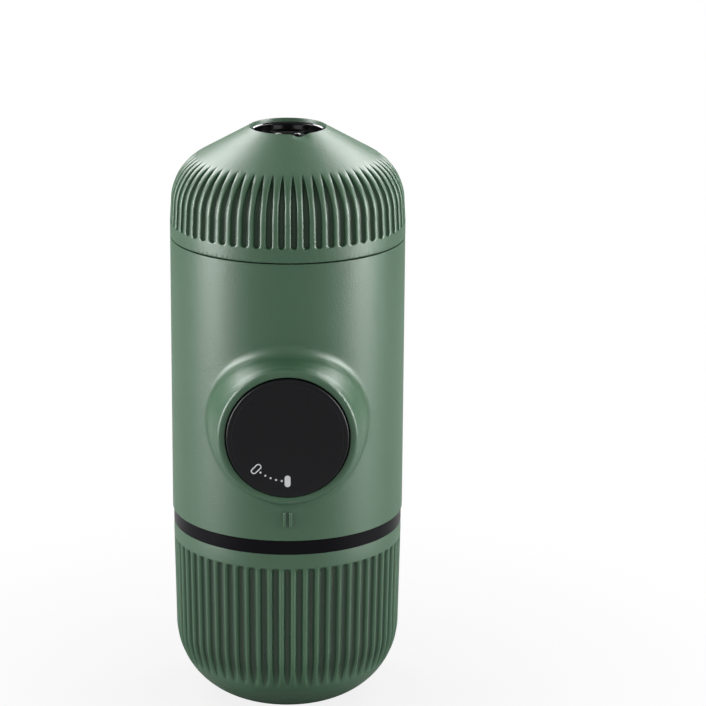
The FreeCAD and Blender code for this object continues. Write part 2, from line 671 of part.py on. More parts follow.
def basket_and_scoop():
    """The pressed basket, screen upwards, and the scoop stored inside it."""
    basket = new_body("filter_basket")
    turned(basket, "pressed_wall", [
        ("0", "of.basket_top"),
        ("of.basket_radius", "of.basket_top"),
        ("of.basket_radius", f"{BASKET_FOOT} + of.basket_wall"),
        ("of.basket_rim", f"{BASKET_FOOT} + of.basket_wall"),
        ("of.basket_rim", BASKET_FOOT),
        ("of.basket_radius - of.basket_wall", BASKET_FOOT),
        ("of.basket_radius - of.basket_wall", "of.basket_top - of.basket_wall"),
        ("0", "of.basket_top - of.basket_wall"),
    ])
    scoop = new_body("coffee_scoop")
    foot = "(of.head_plate_top + of.bond_gap + of.shower_height + of.slip_gap)"
    turned(scoop, "scoop_wall", [
        ("0", "of.scoop_top"),
        ("of.scoop_radius", "of.scoop_top"),
        ("of.scoop_radius", foot),
        ("of.scoop_radius - of.scoop_wall", foot),
        ("of.scoop_radius - of.scoop_wall", "of.scoop_top - of.scoop_wall"),
        ("0", "of.scoop_top - of.scoop_wall"),
    ])
    grip = new_sketch(scoop, "grip_outline", "XY_Plane", out="of.scoop_top - of.scoop_wall - of.grip_drop")
    rectangle(grip, "of.grip_end - of.scoop_radius", "0 - of.grip_half", "of.scoop_radius - of.grip_end",
              "of.grip_half")
    extruded(scoop, "grip", grip, "6.5")


def portafilter():
    """The fluted outer shell, the black core with the funnel, its gasket, and the nozzle in the mouth."""
    body = new_body("portafilter_shell")
    body.Placement = Placement(Vector(), Rotation(Vector(0, 0, 1), number("of.head_flute_phase")))

    def shoulder(inset):
        """Radius and height where the rounded shoulder, set in by this much, meets the cone."""
        round_ = f"(of.shoulder_round - {inset})"
        return (f"({SHOULDER_CENTRE} + {round_} * sin({SLOPE}))",
                f"(of.head_waist_height + {round_} * cos({SLOPE}))", round_)

    out_r, out_z, _ = shoulder("0")
    in_r, in_z, in_round = shoulder("of.head_wall")
    turned(body, "outer_form", [
        ("of.shell_top_radius - of.head_wall", "of.head_foot"),
        ("of.shell_top_radius", "of.head_foot"),
        ("of.shell_top_radius", "of.head_step"),
        ("of.head_waist", "of.head_waist_height"),
        (out_r, out_z, "of.shoulder_round", 1),
        ("of.mouth_radius", f"{out_z} + ({out_r} - of.mouth_radius) * tan({SLOPE})"),
        ("of.mouth_radius", f"{in_z} + ({in_r} - of.mouth_radius) * tan({SLOPE})"),
        (in_r, in_z),
        ("of.head_waist - of.head_wall", "of.head_waist_height", in_round, -1),
    ])
    blend = "(of.head_flute_blend * 1 deg)"
    cut_round = "(of.shoulder_round - of.flute_depth)"
    cut_r = f"({SHOULDER_CENTRE} + {cut_round} * sin({blend}))"
    cut_z = f"(of.head_waist_height + {cut_round} * cos({blend}))"
    bottom = "(of.head_waist - of.flute_depth)"
    outside = "(of.shell_top_radius + of.flute_reach)"
    flute = outline(new_sketch(body, "flute_profile"), [
        (outside, "of.head_flute_foot"),
        (outside, f"{out_z} + of.flute_reach"),
        (f"{out_r} - of.flute_clear", f"{out_z} + of.flute_reach"),
        (f"{out_r} - of.flute_clear", f"{out_z} + of.flute_clear / 2"),
        (cut_r, cut_z),
        (bottom, "of.head_waist_height", cut_round, -1),
        (bottom, "of.head_flute_foot + 2 * of.flute_depth"),
        ("of.shell_top_radius", "of.head_flute_foot"),
    ])
    cut = extruded(body, "flute", flute, "of.flute_width", cut=True, both=True)
    around(body, "flutes", [cut], "of.flute_count")
    core = new_body("portafilter_core")
    core_radius = "(of.shell_top_radius - of.head_wall - of.bond_gap - of.slip_gap)"
    turned(core, "core_form", [
        ("of.core_bore", "of.core_foot"),
        (core_radius, "of.core_foot"),
        (core_radius, "of.head_waist_height - 1"),
        (f"{in_r} - of.core_step", "of.core_top"),
        ("of.socket_radius", "of.core_top"),
        ("of.socket_radius", "of.nozzle_foot"),
        ("of.outlet_radius", "of.nozzle_foot"),
        ("of.outlet_radius", "of.funnel_top"),
        ("of.funnel_radius", CORE_SEAT + " + of.funnel_lip"),
        ("of.funnel_radius", CORE_SEAT),
        ("of.core_bore", CORE_SEAT),
    ])
    washer("portafilter_gasket", GASKET_FOOT, f"{GASKET_FOOT} + of.gasket_height",
           "of.gasket_bore", "of.gasket_radius")
    nozzle = new_body("outlet_nozzle")
    groove = f"({NOZZLE_FLANGE} - of.ring_groove_depth)"
    turned(nozzle, "nozzle_form", [
        ("of.nozzle_bore", "of.nozzle_foot + of.bond_gap"),
        (NOZZLE_FLANGE, "of.nozzle_foot + of.bond_gap"),
        (NOZZLE_FLANGE, "of.nozzle_foot + of.ring_groove_low"),
        (groove, "of.nozzle_foot + of.ring_groove_low"),
        (groove, "of.nozzle_foot + of.ring_groove_high"),
        (NOZZLE_FLANGE, "of.nozzle_foot + of.ring_groove_high"),
        (NOZZLE_FLANGE, "of.core_top + of.bond_gap"),
        ("of.nozzle_skirt", "of.core_top + of.bond_gap"),
        ("of.nozzle_skirt", "of.nozzle_skirt_top"),
        ("of.nozzle_spout + 1", "of.nozzle_skirt_top + 1"),
        ("of.nozzle_spout", "of.nozzle_top"),
        ("of.nozzle_bore", "of.nozzle_top"),
    ])
    middle = "of.nozzle_foot + (of.ring_groove_low + of.ring_groove_high) / 2"
    torus("nozzle_o_ring", "of.socket_radius - of.nozzle_ring_inset", "of.nozzle_ring_wire", z=middle)


def screws():
    """The screws that hold frame, head and manifold together."""
    across, front, back = (number(f"of.screw_{n}") for n in ("across", "front", "back"))
    places = [(x, y) for x in (across, -across) for y in (-front, back)]
    length = number("of.screw_length")
    low = number("of.plate_foot - of.rest_gap")
    high = number("of.head_plate_top - of.chamber_depth + of.rest_gap")
    group("frame_screws", [screw(Vector(x, y, low), Vector(0, 0, 1), length) for x, y in places])
    group("head_screws", [screw(Vector(x, y, high), Vector(0, 0, -1), length) for x, y in places])
    side = number("of.manifold_screw_across")
    back = number("of.manifold_back + of.rest_gap")
    length = number("of.manifold_screw_length")
    heights = (number("of.manifold_screw_low"), number("of.manifold_screw_high"))
    places = [(x, z) for x in (side, -side) for z in heights]
    group("manifold_screws", [screw(Vector(x, back, z), Vector(0, -1, 0), length) for x, z in places])


BUILDERS = (drinking_cup, water_tank, tank_socket, suction_and_vent, body_shell, pump_frame,
            pump_cylinder, valve_manifold, plunger, knob, guide_sleeve, brew_head,
            basket_and_scoop, portafilter, screws)
for build in BUILDERS:
    build()
doc.recompute()

for item in doc.Objects:
    if "Invalid" in item.State or "Error" in item.State:
        raise RuntimeError(f"{item.Name} failed: {item.State}")
os.makedirs("parts", exist_ok=True)
for part in PARTS:
    shape = part.Shape
    if shape.isNull() or not shape.isValid():
        raise RuntimeError(f"{part.Label} has no sound shape")
    shape.exportStep(f"parts/{part.Label}.step")
    print(f"{part.Label}: {shape.Volume / 1000:.2f} ml, {len(shape.Faces)} faces")
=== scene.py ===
"""Looks of the handheld espresso maker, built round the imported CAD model. Metres, +Z up, knob facing -Y."""
import json
import math

import bmesh
import bpy
from mathutils import Matrix, Vector


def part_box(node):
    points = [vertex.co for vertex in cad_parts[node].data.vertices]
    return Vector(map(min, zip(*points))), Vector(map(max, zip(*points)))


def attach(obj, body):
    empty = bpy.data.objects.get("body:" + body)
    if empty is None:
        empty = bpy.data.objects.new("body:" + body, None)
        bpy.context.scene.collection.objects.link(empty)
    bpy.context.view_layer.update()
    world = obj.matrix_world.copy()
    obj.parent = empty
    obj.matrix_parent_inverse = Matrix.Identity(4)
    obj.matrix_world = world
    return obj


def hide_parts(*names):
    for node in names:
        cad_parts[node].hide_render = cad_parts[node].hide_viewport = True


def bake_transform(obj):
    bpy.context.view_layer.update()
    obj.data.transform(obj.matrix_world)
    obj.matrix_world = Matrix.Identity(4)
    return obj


bl_info = {
    "name": "Espresso Maker Looks",
    "version": (1, 0, 0),
    "blender": (4, 5, 0),
    "location": "3D View > Sidebar > Espresso Maker",
    "description": "Dresses the handheld espresso maker's CAD frame",
    "category": "Object",
}

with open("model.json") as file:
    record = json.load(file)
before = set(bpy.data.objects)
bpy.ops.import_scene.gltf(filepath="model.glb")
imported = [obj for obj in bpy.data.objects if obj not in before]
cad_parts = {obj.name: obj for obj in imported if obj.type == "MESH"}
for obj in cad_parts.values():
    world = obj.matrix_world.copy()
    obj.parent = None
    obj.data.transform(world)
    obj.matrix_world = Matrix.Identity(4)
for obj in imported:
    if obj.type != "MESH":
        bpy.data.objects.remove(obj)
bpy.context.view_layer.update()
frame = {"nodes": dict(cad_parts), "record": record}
MM = 0.001
TURN = 2 * math.pi


# Sizes read from the frame
def low(node):
    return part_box(node)[0]


def high(node):
    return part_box(node)[1]


def radius_of(node):
    return high(node).x


KNOB_HEIGHT = (low("knob_cap").z + high("knob_cap").z) / 2
CUP_TOP = high("drinking_cup").z
SHELL_FOOT = low("body_shell").z
SHELL_TOP = high("body_shell").z
SHELL_RADIUS = 30.9 * MM
SHELL_TOP_RADIUS = 31 * MM


# Settings
class FinishSettings(bpy.types.PropertyGroup):
    """Colours of the maker's plastics"""
    sage: bpy.props.FloatVectorProperty(
        name="Sage", description="Colour of the satin shells", subtype="COLOR", size=3,
        min=0, max=1, default=(0.062, 0.158, 0.082))
    charcoal: bpy.props.FloatVectorProperty(
        name="Charcoal", description="Colour of the knob", subtype="COLOR", size=3,
        min=0, max=1, default=(0.006, 0.006, 0.008))
    print_grey: bpy.props.FloatVectorProperty(
        name="Print", description="Colour of the knob's printed marks", subtype="COLOR", size=3,
        min=0, max=1, default=(0.86, 0.87, 0.89))


class FluteSettings(bpy.types.PropertyGroup):
    """Sizes of the flutes that run round the cup and the portafilter"""
    count: bpy.props.IntProperty(
        name="Flutes", description="How many flutes go round", min=12, max=120, default=60)
    width: bpy.props.FloatProperty(
        name="Width", description="Width of one flute at its lips", unit="LENGTH", default=1.8 * MM)
    depth: bpy.props.FloatProperty(
        name="Depth", description="Depth of one flute", unit="LENGTH", default=1.3 * MM)


class StageSettings(bpy.types.PropertyGroup):
    """The camera and the lamps"""
    distance: bpy.props.FloatProperty(
        name="Distance", description="Camera in front of the maker's axis", unit="LENGTH", default=0.8229)
    height: bpy.props.FloatProperty(
        name="Height", description="Camera above the floor", unit="LENGTH", default=0.3375)
    pitch: bpy.props.FloatProperty(
        name="Pitch", description="Camera's tilt below the horizon", subtype="ANGLE",
        default=math.radians(16.47))
    yaw: bpy.props.FloatProperty(
        name="Yaw", description="Camera's turn to the right", subtype="ANGLE", default=math.radians(1.10))
    roll: bpy.props.FloatProperty(
        name="Roll", description="Camera's lean that keeps the maker upright", subtype="ANGLE",
        default=math.radians(-0.38))
    lens: bpy.props.FloatProperty(
        name="Lens", description="Focal length in millimetres", default=164.1)
    softbox: bpy.props.FloatProperty(
        name="Softbox power", description="Watts, of which each lamp takes its share", default=3.5)


# Shader maths
class Socket:
    """An output socket that adds Math nodes when it is used in an expression."""

    def __init__(self, sheet, output):
        self.sheet = sheet
        self.output = output

    def math(self, operation, *others):
        return self.sheet.math(operation, self, *others)

    def __add__(self, other):
        return self.math("ADD", other)

    def __mul__(self, other):
        return self.math("MULTIPLY", other)

    def __truediv__(self, other):
        return self.math("DIVIDE", other)

    def __rsub__(self, other):
        return self.sheet.math("SUBTRACT", other, self)

    __radd__ = __add__
    __rmul__ = __mul__


class NodeSheet:
    """The nodes of one material, world or Geometry Nodes tree."""

    def __init__(self, tree):
        self.tree = tree
        tree.nodes.clear()

    def add(self, kind, settings=None, output=0, **inputs):
        """A node's output; the settings go in first, then its sockets by name, or by number as i0, i1."""
        node = self.tree.nodes.new(kind)
        for name, value in (settings or {}).items():
            setattr(node, name, value)
        for name, value in inputs.items():
            self.put(node, name.replace("_", " "), value)
        return Socket(self, node.outputs[output]) if node.outputs else node

    def put(self, node, name, value):
        socket = node.inputs[int(name[1:])] if name[0] == "i" and name[1:].isdigit() else node.inputs[name]
        if isinstance(value, Socket):
            self.tree.links.new(value.output, socket)
        elif hasattr(socket.default_value, "__len__") and len(socket.default_value) == 4 and len(value) == 3:
            socket.default_value = (*value, 1)
        else:
            socket.default_value = value

    def math(self, operation, *values):
        return self.add("ShaderNodeMath", {"operation": operation},
                        **{f"i{i}": v for i, v in enumerate(values)})

    def place(self):
        return self.add("ShaderNodeTexCoord", output="Object")

    def noise(self, scale, detail=2.0, stretch=None):
        where = self.place()
        if stretch:
            where = self.add("ShaderNodeMapping", Vector=where, Scale=stretch)
        return self.add("ShaderNodeTexNoise", Vector=where, Scale=scale, Detail=detail)

    def between(self, value, low_value, high_value):
        return value * (high_value - low_value) + low_value

    def colour_mix(self, factor, one, other):
        return self.add("ShaderNodeMix", {"data_type": "RGBA"}, output=2, i0=factor, i6=one, i7=other)


def scaled(colour, share):
    return tuple(c * share for c in colour)


def new_sheet(name):
    """A material with an empty node tree, and the sheet that fills it."""
    material = bpy.data.materials.new(name)
    material.use_nodes = True
    return material, NodeSheet(material.node_tree)


CLOUD_SCALE, CLOUD_CHANGE = 60, 0.05
GLOSS_SCALE, GLOSS_CHANGE = 350, 0.03
GRAIN_DEPTH = 0.1 * MM
# Share of the colour left at the floor of a flute, as painted shade
PAINTED_GROOVE_SHADE = 0.46


def plastic(name, colour, roughness, grain=0.04, grain_scale=9000, coat=0.0, specular=0.5, shaded=False):
    """A moulded plastic: fine spark grain, faint cloudiness in the colour and uneven gloss.

    A shaded one has painted shade: its colour is darker where the mesh's sunk attribute says that a flute is
    deep.
    """
    material, sheet = new_sheet(name)
    cloud = sheet.noise(CLOUD_SCALE, 3)
    fine = sheet.noise(grain_scale, 2)
    tint = sheet.colour_mix(cloud, scaled(colour, 1 - CLOUD_CHANGE), scaled(colour, 1 + CLOUD_CHANGE))
    if shaded:
        # Painted shade: the colour is darker down in the flutes, darkest at their floors
        sunk = sheet.add("ShaderNodeAttribute", {"attribute_name": "sunk"}, output="Fac")
        tint = sheet.colour_mix(sunk, tint, scaled(colour, PAINTED_GROOVE_SHADE))
    gloss = sheet.between(sheet.noise(GLOSS_SCALE, 4), roughness - GLOSS_CHANGE, roughness + GLOSS_CHANGE)
    bump = sheet.add("ShaderNodeBump", Strength=grain, Distance=GRAIN_DEPTH, Height=fine)
    shader = sheet.add("ShaderNodeBsdfPrincipled", Base_Color=tint, Roughness=gloss, Coat_Weight=coat,
                       Specular_IOR_Level=specular, Normal=bump)
    sheet.add("ShaderNodeOutputMaterial", Surface=shader)
    material.diffuse_color = (*colour, 1)
    return material


STREAK_SCALE, STREAK_GLOSS = 400, 0.1
STREAK_DEPTH = 0.03 * MM


def metal(name, colour, roughness, stretch):
    """Brushed steel: fine streaks in the gloss and in a slight bump."""
    material, sheet = new_sheet(name)
    streak = sheet.noise(STREAK_SCALE, 3, stretch)
    gloss = sheet.between(streak, roughness - STREAK_GLOSS, roughness + STREAK_GLOSS)
    tint = sheet.colour_mix(streak, scaled(colour, 0.92), colour)
    bump = sheet.add("ShaderNodeBump", Strength=0.15, Distance=STREAK_DEPTH, Height=streak)
    shader = sheet.add("ShaderNodeBsdfPrincipled", Base_Color=tint, Roughness=gloss, Metallic=1.0,
                       Normal=bump)
    sheet.add("ShaderNodeOutputMaterial", Surface=shader)
    return material


FINISHES = {}


def make_finishes(settings):
    sage = tuple(settings.sage)
    satin = {"grain": 0.5, "grain_scale": 2400, "specular": 1.0}
    made = {
        "sage": plastic("sage_satin", sage, 0.41, **satin),
        # The fluted finish carries painted shade in the flutes' grooves
        "fluted": plastic("sage_fluted_painted_shade", sage, 0.41, **satin, shaded=True),
        "charcoal": plastic("charcoal_satin", tuple(settings.charcoal), 0.36, grain=0.08, specular=0.4),
        "collar": plastic("collar_black", (0.003, 0.0025, 0.005), 0.3, grain=0.03, specular=0.16),
        "black": plastic("black_frame", (0.014, 0.014, 0.015), 0.5, grain=0.1),
        "gloss": plastic("gloss_black", (0.008, 0.008, 0.009), 0.12, grain=0.0, coat=0.6),
        "print": plastic("dial_print", tuple(settings.print_grey), 0.55, grain=0.02),
        "smoke": plastic("smoke_tank", (0.10, 0.105, 0.105), 0.25, grain=0.03),
        "grey": plastic("grey_pump", (0.32, 0.33, 0.33), 0.42, grain=0.06),
        "silicone": plastic("pale_silicone", (0.52, 0.53, 0.5), 0.6, grain=0.02),
        "rubber": plastic("black_rubber", (0.012, 0.012, 0.012), 0.62, grain=0.03),
        "steel": metal("brushed_steel", (0.44, 0.44, 0.45), 0.42, (1, 1, 12)),
    }
    FINISHES.update(made)


SCREW_NODES = ("frame_screws", "head_screws", "manifold_screws", "shower_screw")
FINISH_NODES = {
    "sage": ("body_shell",),
    "fluted": ("drinking_cup", "portafilter_shell"),
    "charcoal": ("knob_cap",),
    "collar": ("tank_collar",),
    "black": ("tank_socket", "suction_tube", "pump_frame", "knob_sleeve", "guide_sleeve", "brew_head",
              "coffee_scoop", "portafilter_core"),
    "gloss": ("outlet_nozzle",),
    "smoke": ("water_tank",),
    "grey": ("pump_cylinder", "valve_manifold", "plunger"),
    "silicone": ("tank_seal", "vent_valve", "cylinder_seal", "inlet_valve", "outlet_valve", "brew_seal",
                 "portafilter_gasket"),
    "rubber": ("cup_o_ring", "piston_seal", "nozzle_o_ring"),
    "steel": ("suction_filter", "piston_screw", "return_spring", "shower_plate", "filter_basket",
              *SCREW_NODES),
}
NODE_FINISH = {node: finish for finish, nodes in FINISH_NODES.items() for node in nodes}


# Mesh helpers
MERGE = 0.0001 * MM
FRAME_MERGE = 0.002 * MM


def placed(name, data):
    """A new object of the scene for a mesh, lamp or camera."""
    thing = bpy.data.objects.new(name, data)
    bpy.context.scene.collection.objects.link(thing)
    return thing


def piece_of(name, mesh, node, body, finish=None, replaces=True):
    """An object for a finished mesh that rides on a body, if one is named, and takes a node's finish."""
    thing = placed(name, mesh)
    mesh.materials.clear()
    mesh.materials.append(FINISHES[finish or NODE_FINISH[node]])
    if body:
        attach(thing, body)
    if replaces:
        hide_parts(node)
    return thing


def body_of(node):
    bodies = frame["record"]["behaviour"]["bodies"]
    return next(body for body, members in bodies.items() if node in members)


def mesh_from(name, verts, faces, smooth_angle=40):
    mesh = bpy.data.meshes.new(name)
    mesh.from_pydata(verts, [], faces)
    mesh.validate()
    shade(mesh, smooth_angle)
    return mesh


def shade(mesh, angle):
    """Smooth faces with sharp edges past an angle in degrees."""
    tidy = bmesh.new()
    tidy.from_mesh(mesh)
    bmesh.ops.remove_doubles(tidy, verts=tidy.verts, dist=MERGE)
    bmesh.ops.recalc_face_normals(tidy, faces=tidy.faces)
    for face in tidy.faces:
        face.smooth = True
    for edge in tidy.edges:
        if len(edge.link_faces) == 2:
            edge.smooth = edge.calc_face_angle(0) < math.radians(angle)
    tidy.to_mesh(mesh)
    tidy.free()


def net(first, columns, rows, closed=True, wrapped=True):
    """Faces between neighbouring columns of points that start at an index.

    Closed joins the last column to the first one, and wrapped joins each column's last row to its first.
    """
    faces = []
    for j in range(columns if closed else columns - 1):
        here, there = first + j * rows, first + (j + 1) % columns * rows
        for i in range(rows if wrapped else rows - 1):
            m = (i + 1) % rows
            faces.append((here + i, there + i, there + m, here + m))
    return faces


def turned(r, turn, z=0.0):
    """The point at a radius, a turn about Z and a height."""
    return r * math.cos(turn), r * math.sin(turn), z


def slid(start, end, share):
    """The number at a share of the way from start to end."""
    return start + (end - start) * share


def held(share):
    """A share kept between 0 and 1."""
    return min(1.0, max(0.0, share))


CORNER_STEPS = 5
SHARPEST, FLATTEST = math.radians(3), math.radians(88)
CORNER_ROOM = 0.45


def eased(points, radius, steps=CORNER_STEPS):
    """An outline of (across, along) points with its corners rounded, wherever the two edges have room."""
    out = []
    for i, corner in enumerate(points):
        here = Vector(corner[:2])
        wanted = corner[2] * MM if len(corner) > 2 else radius
        before = Vector(points[i - 1][:2]) - here
        after = Vector(points[(i + 1) % len(points)][:2]) - here
        if wanted <= 0 or before.length < 1e-7 or after.length < 1e-7:
            out.append(here)
            continue
        half = before.angle(after) / 2
        if not SHARPEST <= half <= FLATTEST:
            out.append(here)
            continue
        reach = min(wanted / math.tan(half), before.length * CORNER_ROOM, after.length * CORNER_ROOM)
        start = here + before.normalized() * reach
        end = here + after.normalized() * reach
        for k in range(steps + 1):
            share = k / steps
            out.append(start.lerp(here, share).lerp(here.lerp(end, share), share))
    return out


def spun(name, outline, segments=160, about_y=False, ease=0.25 * MM, smooth_angle=40):
    """A closed outline of (radius, height) turned about Z, or about Y on the knob's axis."""
    ring = eased(outline, ease)
    verts = []
    for j in range(segments):
        for r, along in ring:
            x, y, z = turned(r, TURN * j / segments, along)
            verts.append((x, z, KNOB_HEIGHT + y) if about_y else (x, y, z))
    count = len(ring)
    faces = [f for f in net(0, segments, count) if max(ring[f[0] % count][0], ring[f[3] % count][0]) >= 1e-9]
    return mesh_from(name, verts, faces, smooth_angle)


def mm(points):
    """Points given in millimetres, as metres; a third number is the corner's own round, left in mm."""
    return [(p[0] * MM, p[1] * MM, *p[2:]) for p in points]


def joined(name, meshes):
    """Several meshes in one."""
    whole = bmesh.new()
    for mesh in meshes:
        whole.from_mesh(mesh)
    out = bpy.data.meshes.new(name)
    whole.to_mesh(out)
    whole.free()
    return out


# Flutes
RIB_SHARES = (0.0, 0.35, 0.65, 0.85)
NARROWEST = 0.12
WIDEST = 0.8
# Row spacings of the fluted walls, closest where the flutes end
CUP_PLAIN_ROWS, CUP_ROUND_ROWS, CUP_END_ROWS, CUP_RIM_ROWS = 3 * MM, 0.75 * MM, 0.25 * MM, 1.5 * MM
HEAD_PLAIN_ROWS, HEAD_END_ROWS, HEAD_OPEN_ROWS, HEAD_ROUND_ROWS = 1.2 * MM, 0.15 * MM, 0.3 * MM, 0.6 * MM
GROOVE_SHARES = (1.0, 0.96, 0.88, 0.74, 0.45, 0.0)
CUP_RIB = (0.42, 2.0)
HEAD_RIB = (0.16, 3.0)
WALL_STEEPNESS = 0.42


def path_along(legs):
    """Points (r, z, normal r, normal z, length so far) along an outer outline.

    A leg is ("line", spacing, r0, z0, r1, z1) or
    ("arc", spacing, centre r, centre z, radius, first angle, last angle).
    """
    points = []
    travelled = 0.0
    for kind, spacing, *leg in legs:
        if kind == "line":
            r0, z0, r1, z1 = leg
            length = math.hypot(r1 - r0, z1 - z0)
            normal = ((z1 - z0) / length, -(r1 - r0) / length)
            steps = max(1, round(length / spacing))
        else:
            cr, cz, radius, first, last = leg
            length = radius * abs(last - first)
            steps = max(2, round(length / spacing))
        for k in range(steps):
            share = k / steps
            if kind == "line":
                place = (slid(r0, r1, share), slid(z0, z1, share))
            else:
                normal = turned(1, slid(first, last, share))[:2]
                place = (cr + radius * normal[0], cz + radius * normal[1])
            points.append((*place, *normal, travelled + length * share))
        travelled += length
    return points


def end_share(distance, half_width):
    """How far a flute has opened at a distance inside its scooped end: 0 at the end, 1 past the scoop."""
    if distance <= 0:
        return 0.0
    if distance >= half_width:
        return 1.0
    rest = 1 - distance / half_width
    return math.sqrt(1 - rest * rest)


def flute_wedge(name, rows, rest_of_outline, openings, rib, settings):
    """One pitch of a fluted wall: the outer rows with half a rib each side of one flute, then the inside.

    openings(length so far) gives the flute's width and depth there, as shares of the full ones. A rib
    falls away to its lips by a share of the depth, at a power of the way out.
    """
    rib_round, rib_power = rib
    pitch = TURN / settings.count
    verts, sunk = [], []
    columns = 0
    for r, z, nr, nz, along in rows:
        width_share, depth_share = openings(along)
        half_pitch = pitch * r / 2
        half = min(settings.width / 2 * max(width_share, NARROWEST), half_pitch * WIDEST)
        depth = settings.depth * depth_share
        offsets = []
        for share in RIB_SHARES:
            offsets.append((-slid(half_pitch, half, share), depth * rib_round * share ** rib_power))
        for share in GROOVE_SHARES:
            cut = (1 - share * share) ** WALL_STEEPNESS if share < 1 else 0.0
            offsets.append((-half * share, depth * slid(rib_round, 1, cut)))
        offsets += [(-u, d) for u, d in reversed(offsets[:-1])]
        columns = len(offsets)
        for u, d in offsets:
            turn = u / r if r > 1e-6 else 0.0
            verts.append(turned(r - nr * d, turn, z - nz * d))
            # sunk is 0 on the ribs and 1 at a flute's floor; the fluted finish paints shade by it
            sunk.append(max(0.0, d / settings.depth - rib_round) / (1 - rib_round))
    for r, z in rest_of_outline:
        sunk += [0.0] * columns
        for k in range(columns):
            verts.append(turned(r, pitch * (k / (columns - 1) - 0.5), z))
    faces = net(0, len(rows) + len(rest_of_outline), columns, closed=False, wrapped=False)
    mesh = bpy.data.meshes.new(name)
    mesh.from_pydata(verts, [], faces)
    mesh.attributes.new("sunk", "FLOAT", "POINT").data.foreach_set("value", sunk)
    return mesh


MERGE_DISTANCE = 0.01 * MM


def ring_tree(name, material):
    """Geometry Nodes: copies of a wedge turned round Z, realized, merged and given a material."""
    tree = bpy.data.node_groups.new(name, "GeometryNodeTree")
    for label, kind in (("Wedge", "Geometry"), ("Count", "Int"), ("First turn", "Float")):
        tree.interface.new_socket(label, in_out="INPUT", socket_type="NodeSocket" + kind)
    tree.interface.new_socket("Ring", in_out="OUTPUT", socket_type="NodeSocketGeometry")
    sheet = NodeSheet(tree)
    wedge, count, first_turn = (sheet.add("NodeGroupInput", output=i) for i in range(3))
    line = sheet.add("GeometryNodeMeshLine", Count=count, Offset=(0, 0, 0))
    turn = sheet.add("GeometryNodeInputIndex") / count * TURN + first_turn
    spin = sheet.add("ShaderNodeCombineXYZ", Z=turn)
    copies = sheet.add("GeometryNodeInstanceOnPoints", Points=line, Instance=wedge, Rotation=spin)
    real = sheet.add("GeometryNodeRealizeInstances", i0=copies)
    merged = sheet.add("GeometryNodeMergeByDistance", Geometry=real, Distance=MERGE_DISTANCE)
    painted = sheet.add("GeometryNodeSetMaterial", Geometry=merged, Material=material)
    sheet.add("NodeGroupOutput", i0=painted)
    return tree


def ring_of(name, wedge, count, first_turn, material, angle=38):
    """The wedge repeated round Z by Geometry Nodes, as a plain mesh."""
    maker = placed(name + "_wedge", wedge)
    modifier = maker.modifiers.new("ring", "NODES")
    modifier.node_group = ring_tree(name + "_tree", material)
    names = {s.name: s.identifier for s in modifier.node_group.interface.items_tree if s.in_out == "INPUT"}
    modifier[names["Count"]] = count
    modifier[names["First turn"]] = first_turn
    seen = maker.evaluated_get(bpy.context.evaluated_depsgraph_get())
    mesh = bpy.data.meshes.new_from_object(seen)
    mesh.name = name
    bpy.data.objects.remove(maker)
    shade(mesh, angle)
    return mesh


# Drinking cup
CUP_RIM = 30.65 * MM
CUP_WAIST = 30.1 * MM
CUP_ROUND = 20.95 * MM
CUP_ROUND_TOP = 19.65 * MM
CUP_WALL = 1.9 * MM
CUP_FLOOR = 1.8 * MM
CUP_FLUTE_TOP = 44.1 * MM
CUP_FLUTE_FOOT = 9.3 * MM
CUP_FOOT_EDGE = 0.5 * MM
CUP_FLOOR_FLAT = 8 * MM
END_BELOW, END_ABOVE = 2.5 * MM, 0.5 * MM
CUP_LIP = 0.35 * MM
POLE = 0.2 * MM
CUP_FADE = 5 * MM
CUP_FADE_WIDTH = 0.6
CUP_END_SCOOP = 1.5
CUP_END_WIDTH = 0.3
INNER_STEPS = 12


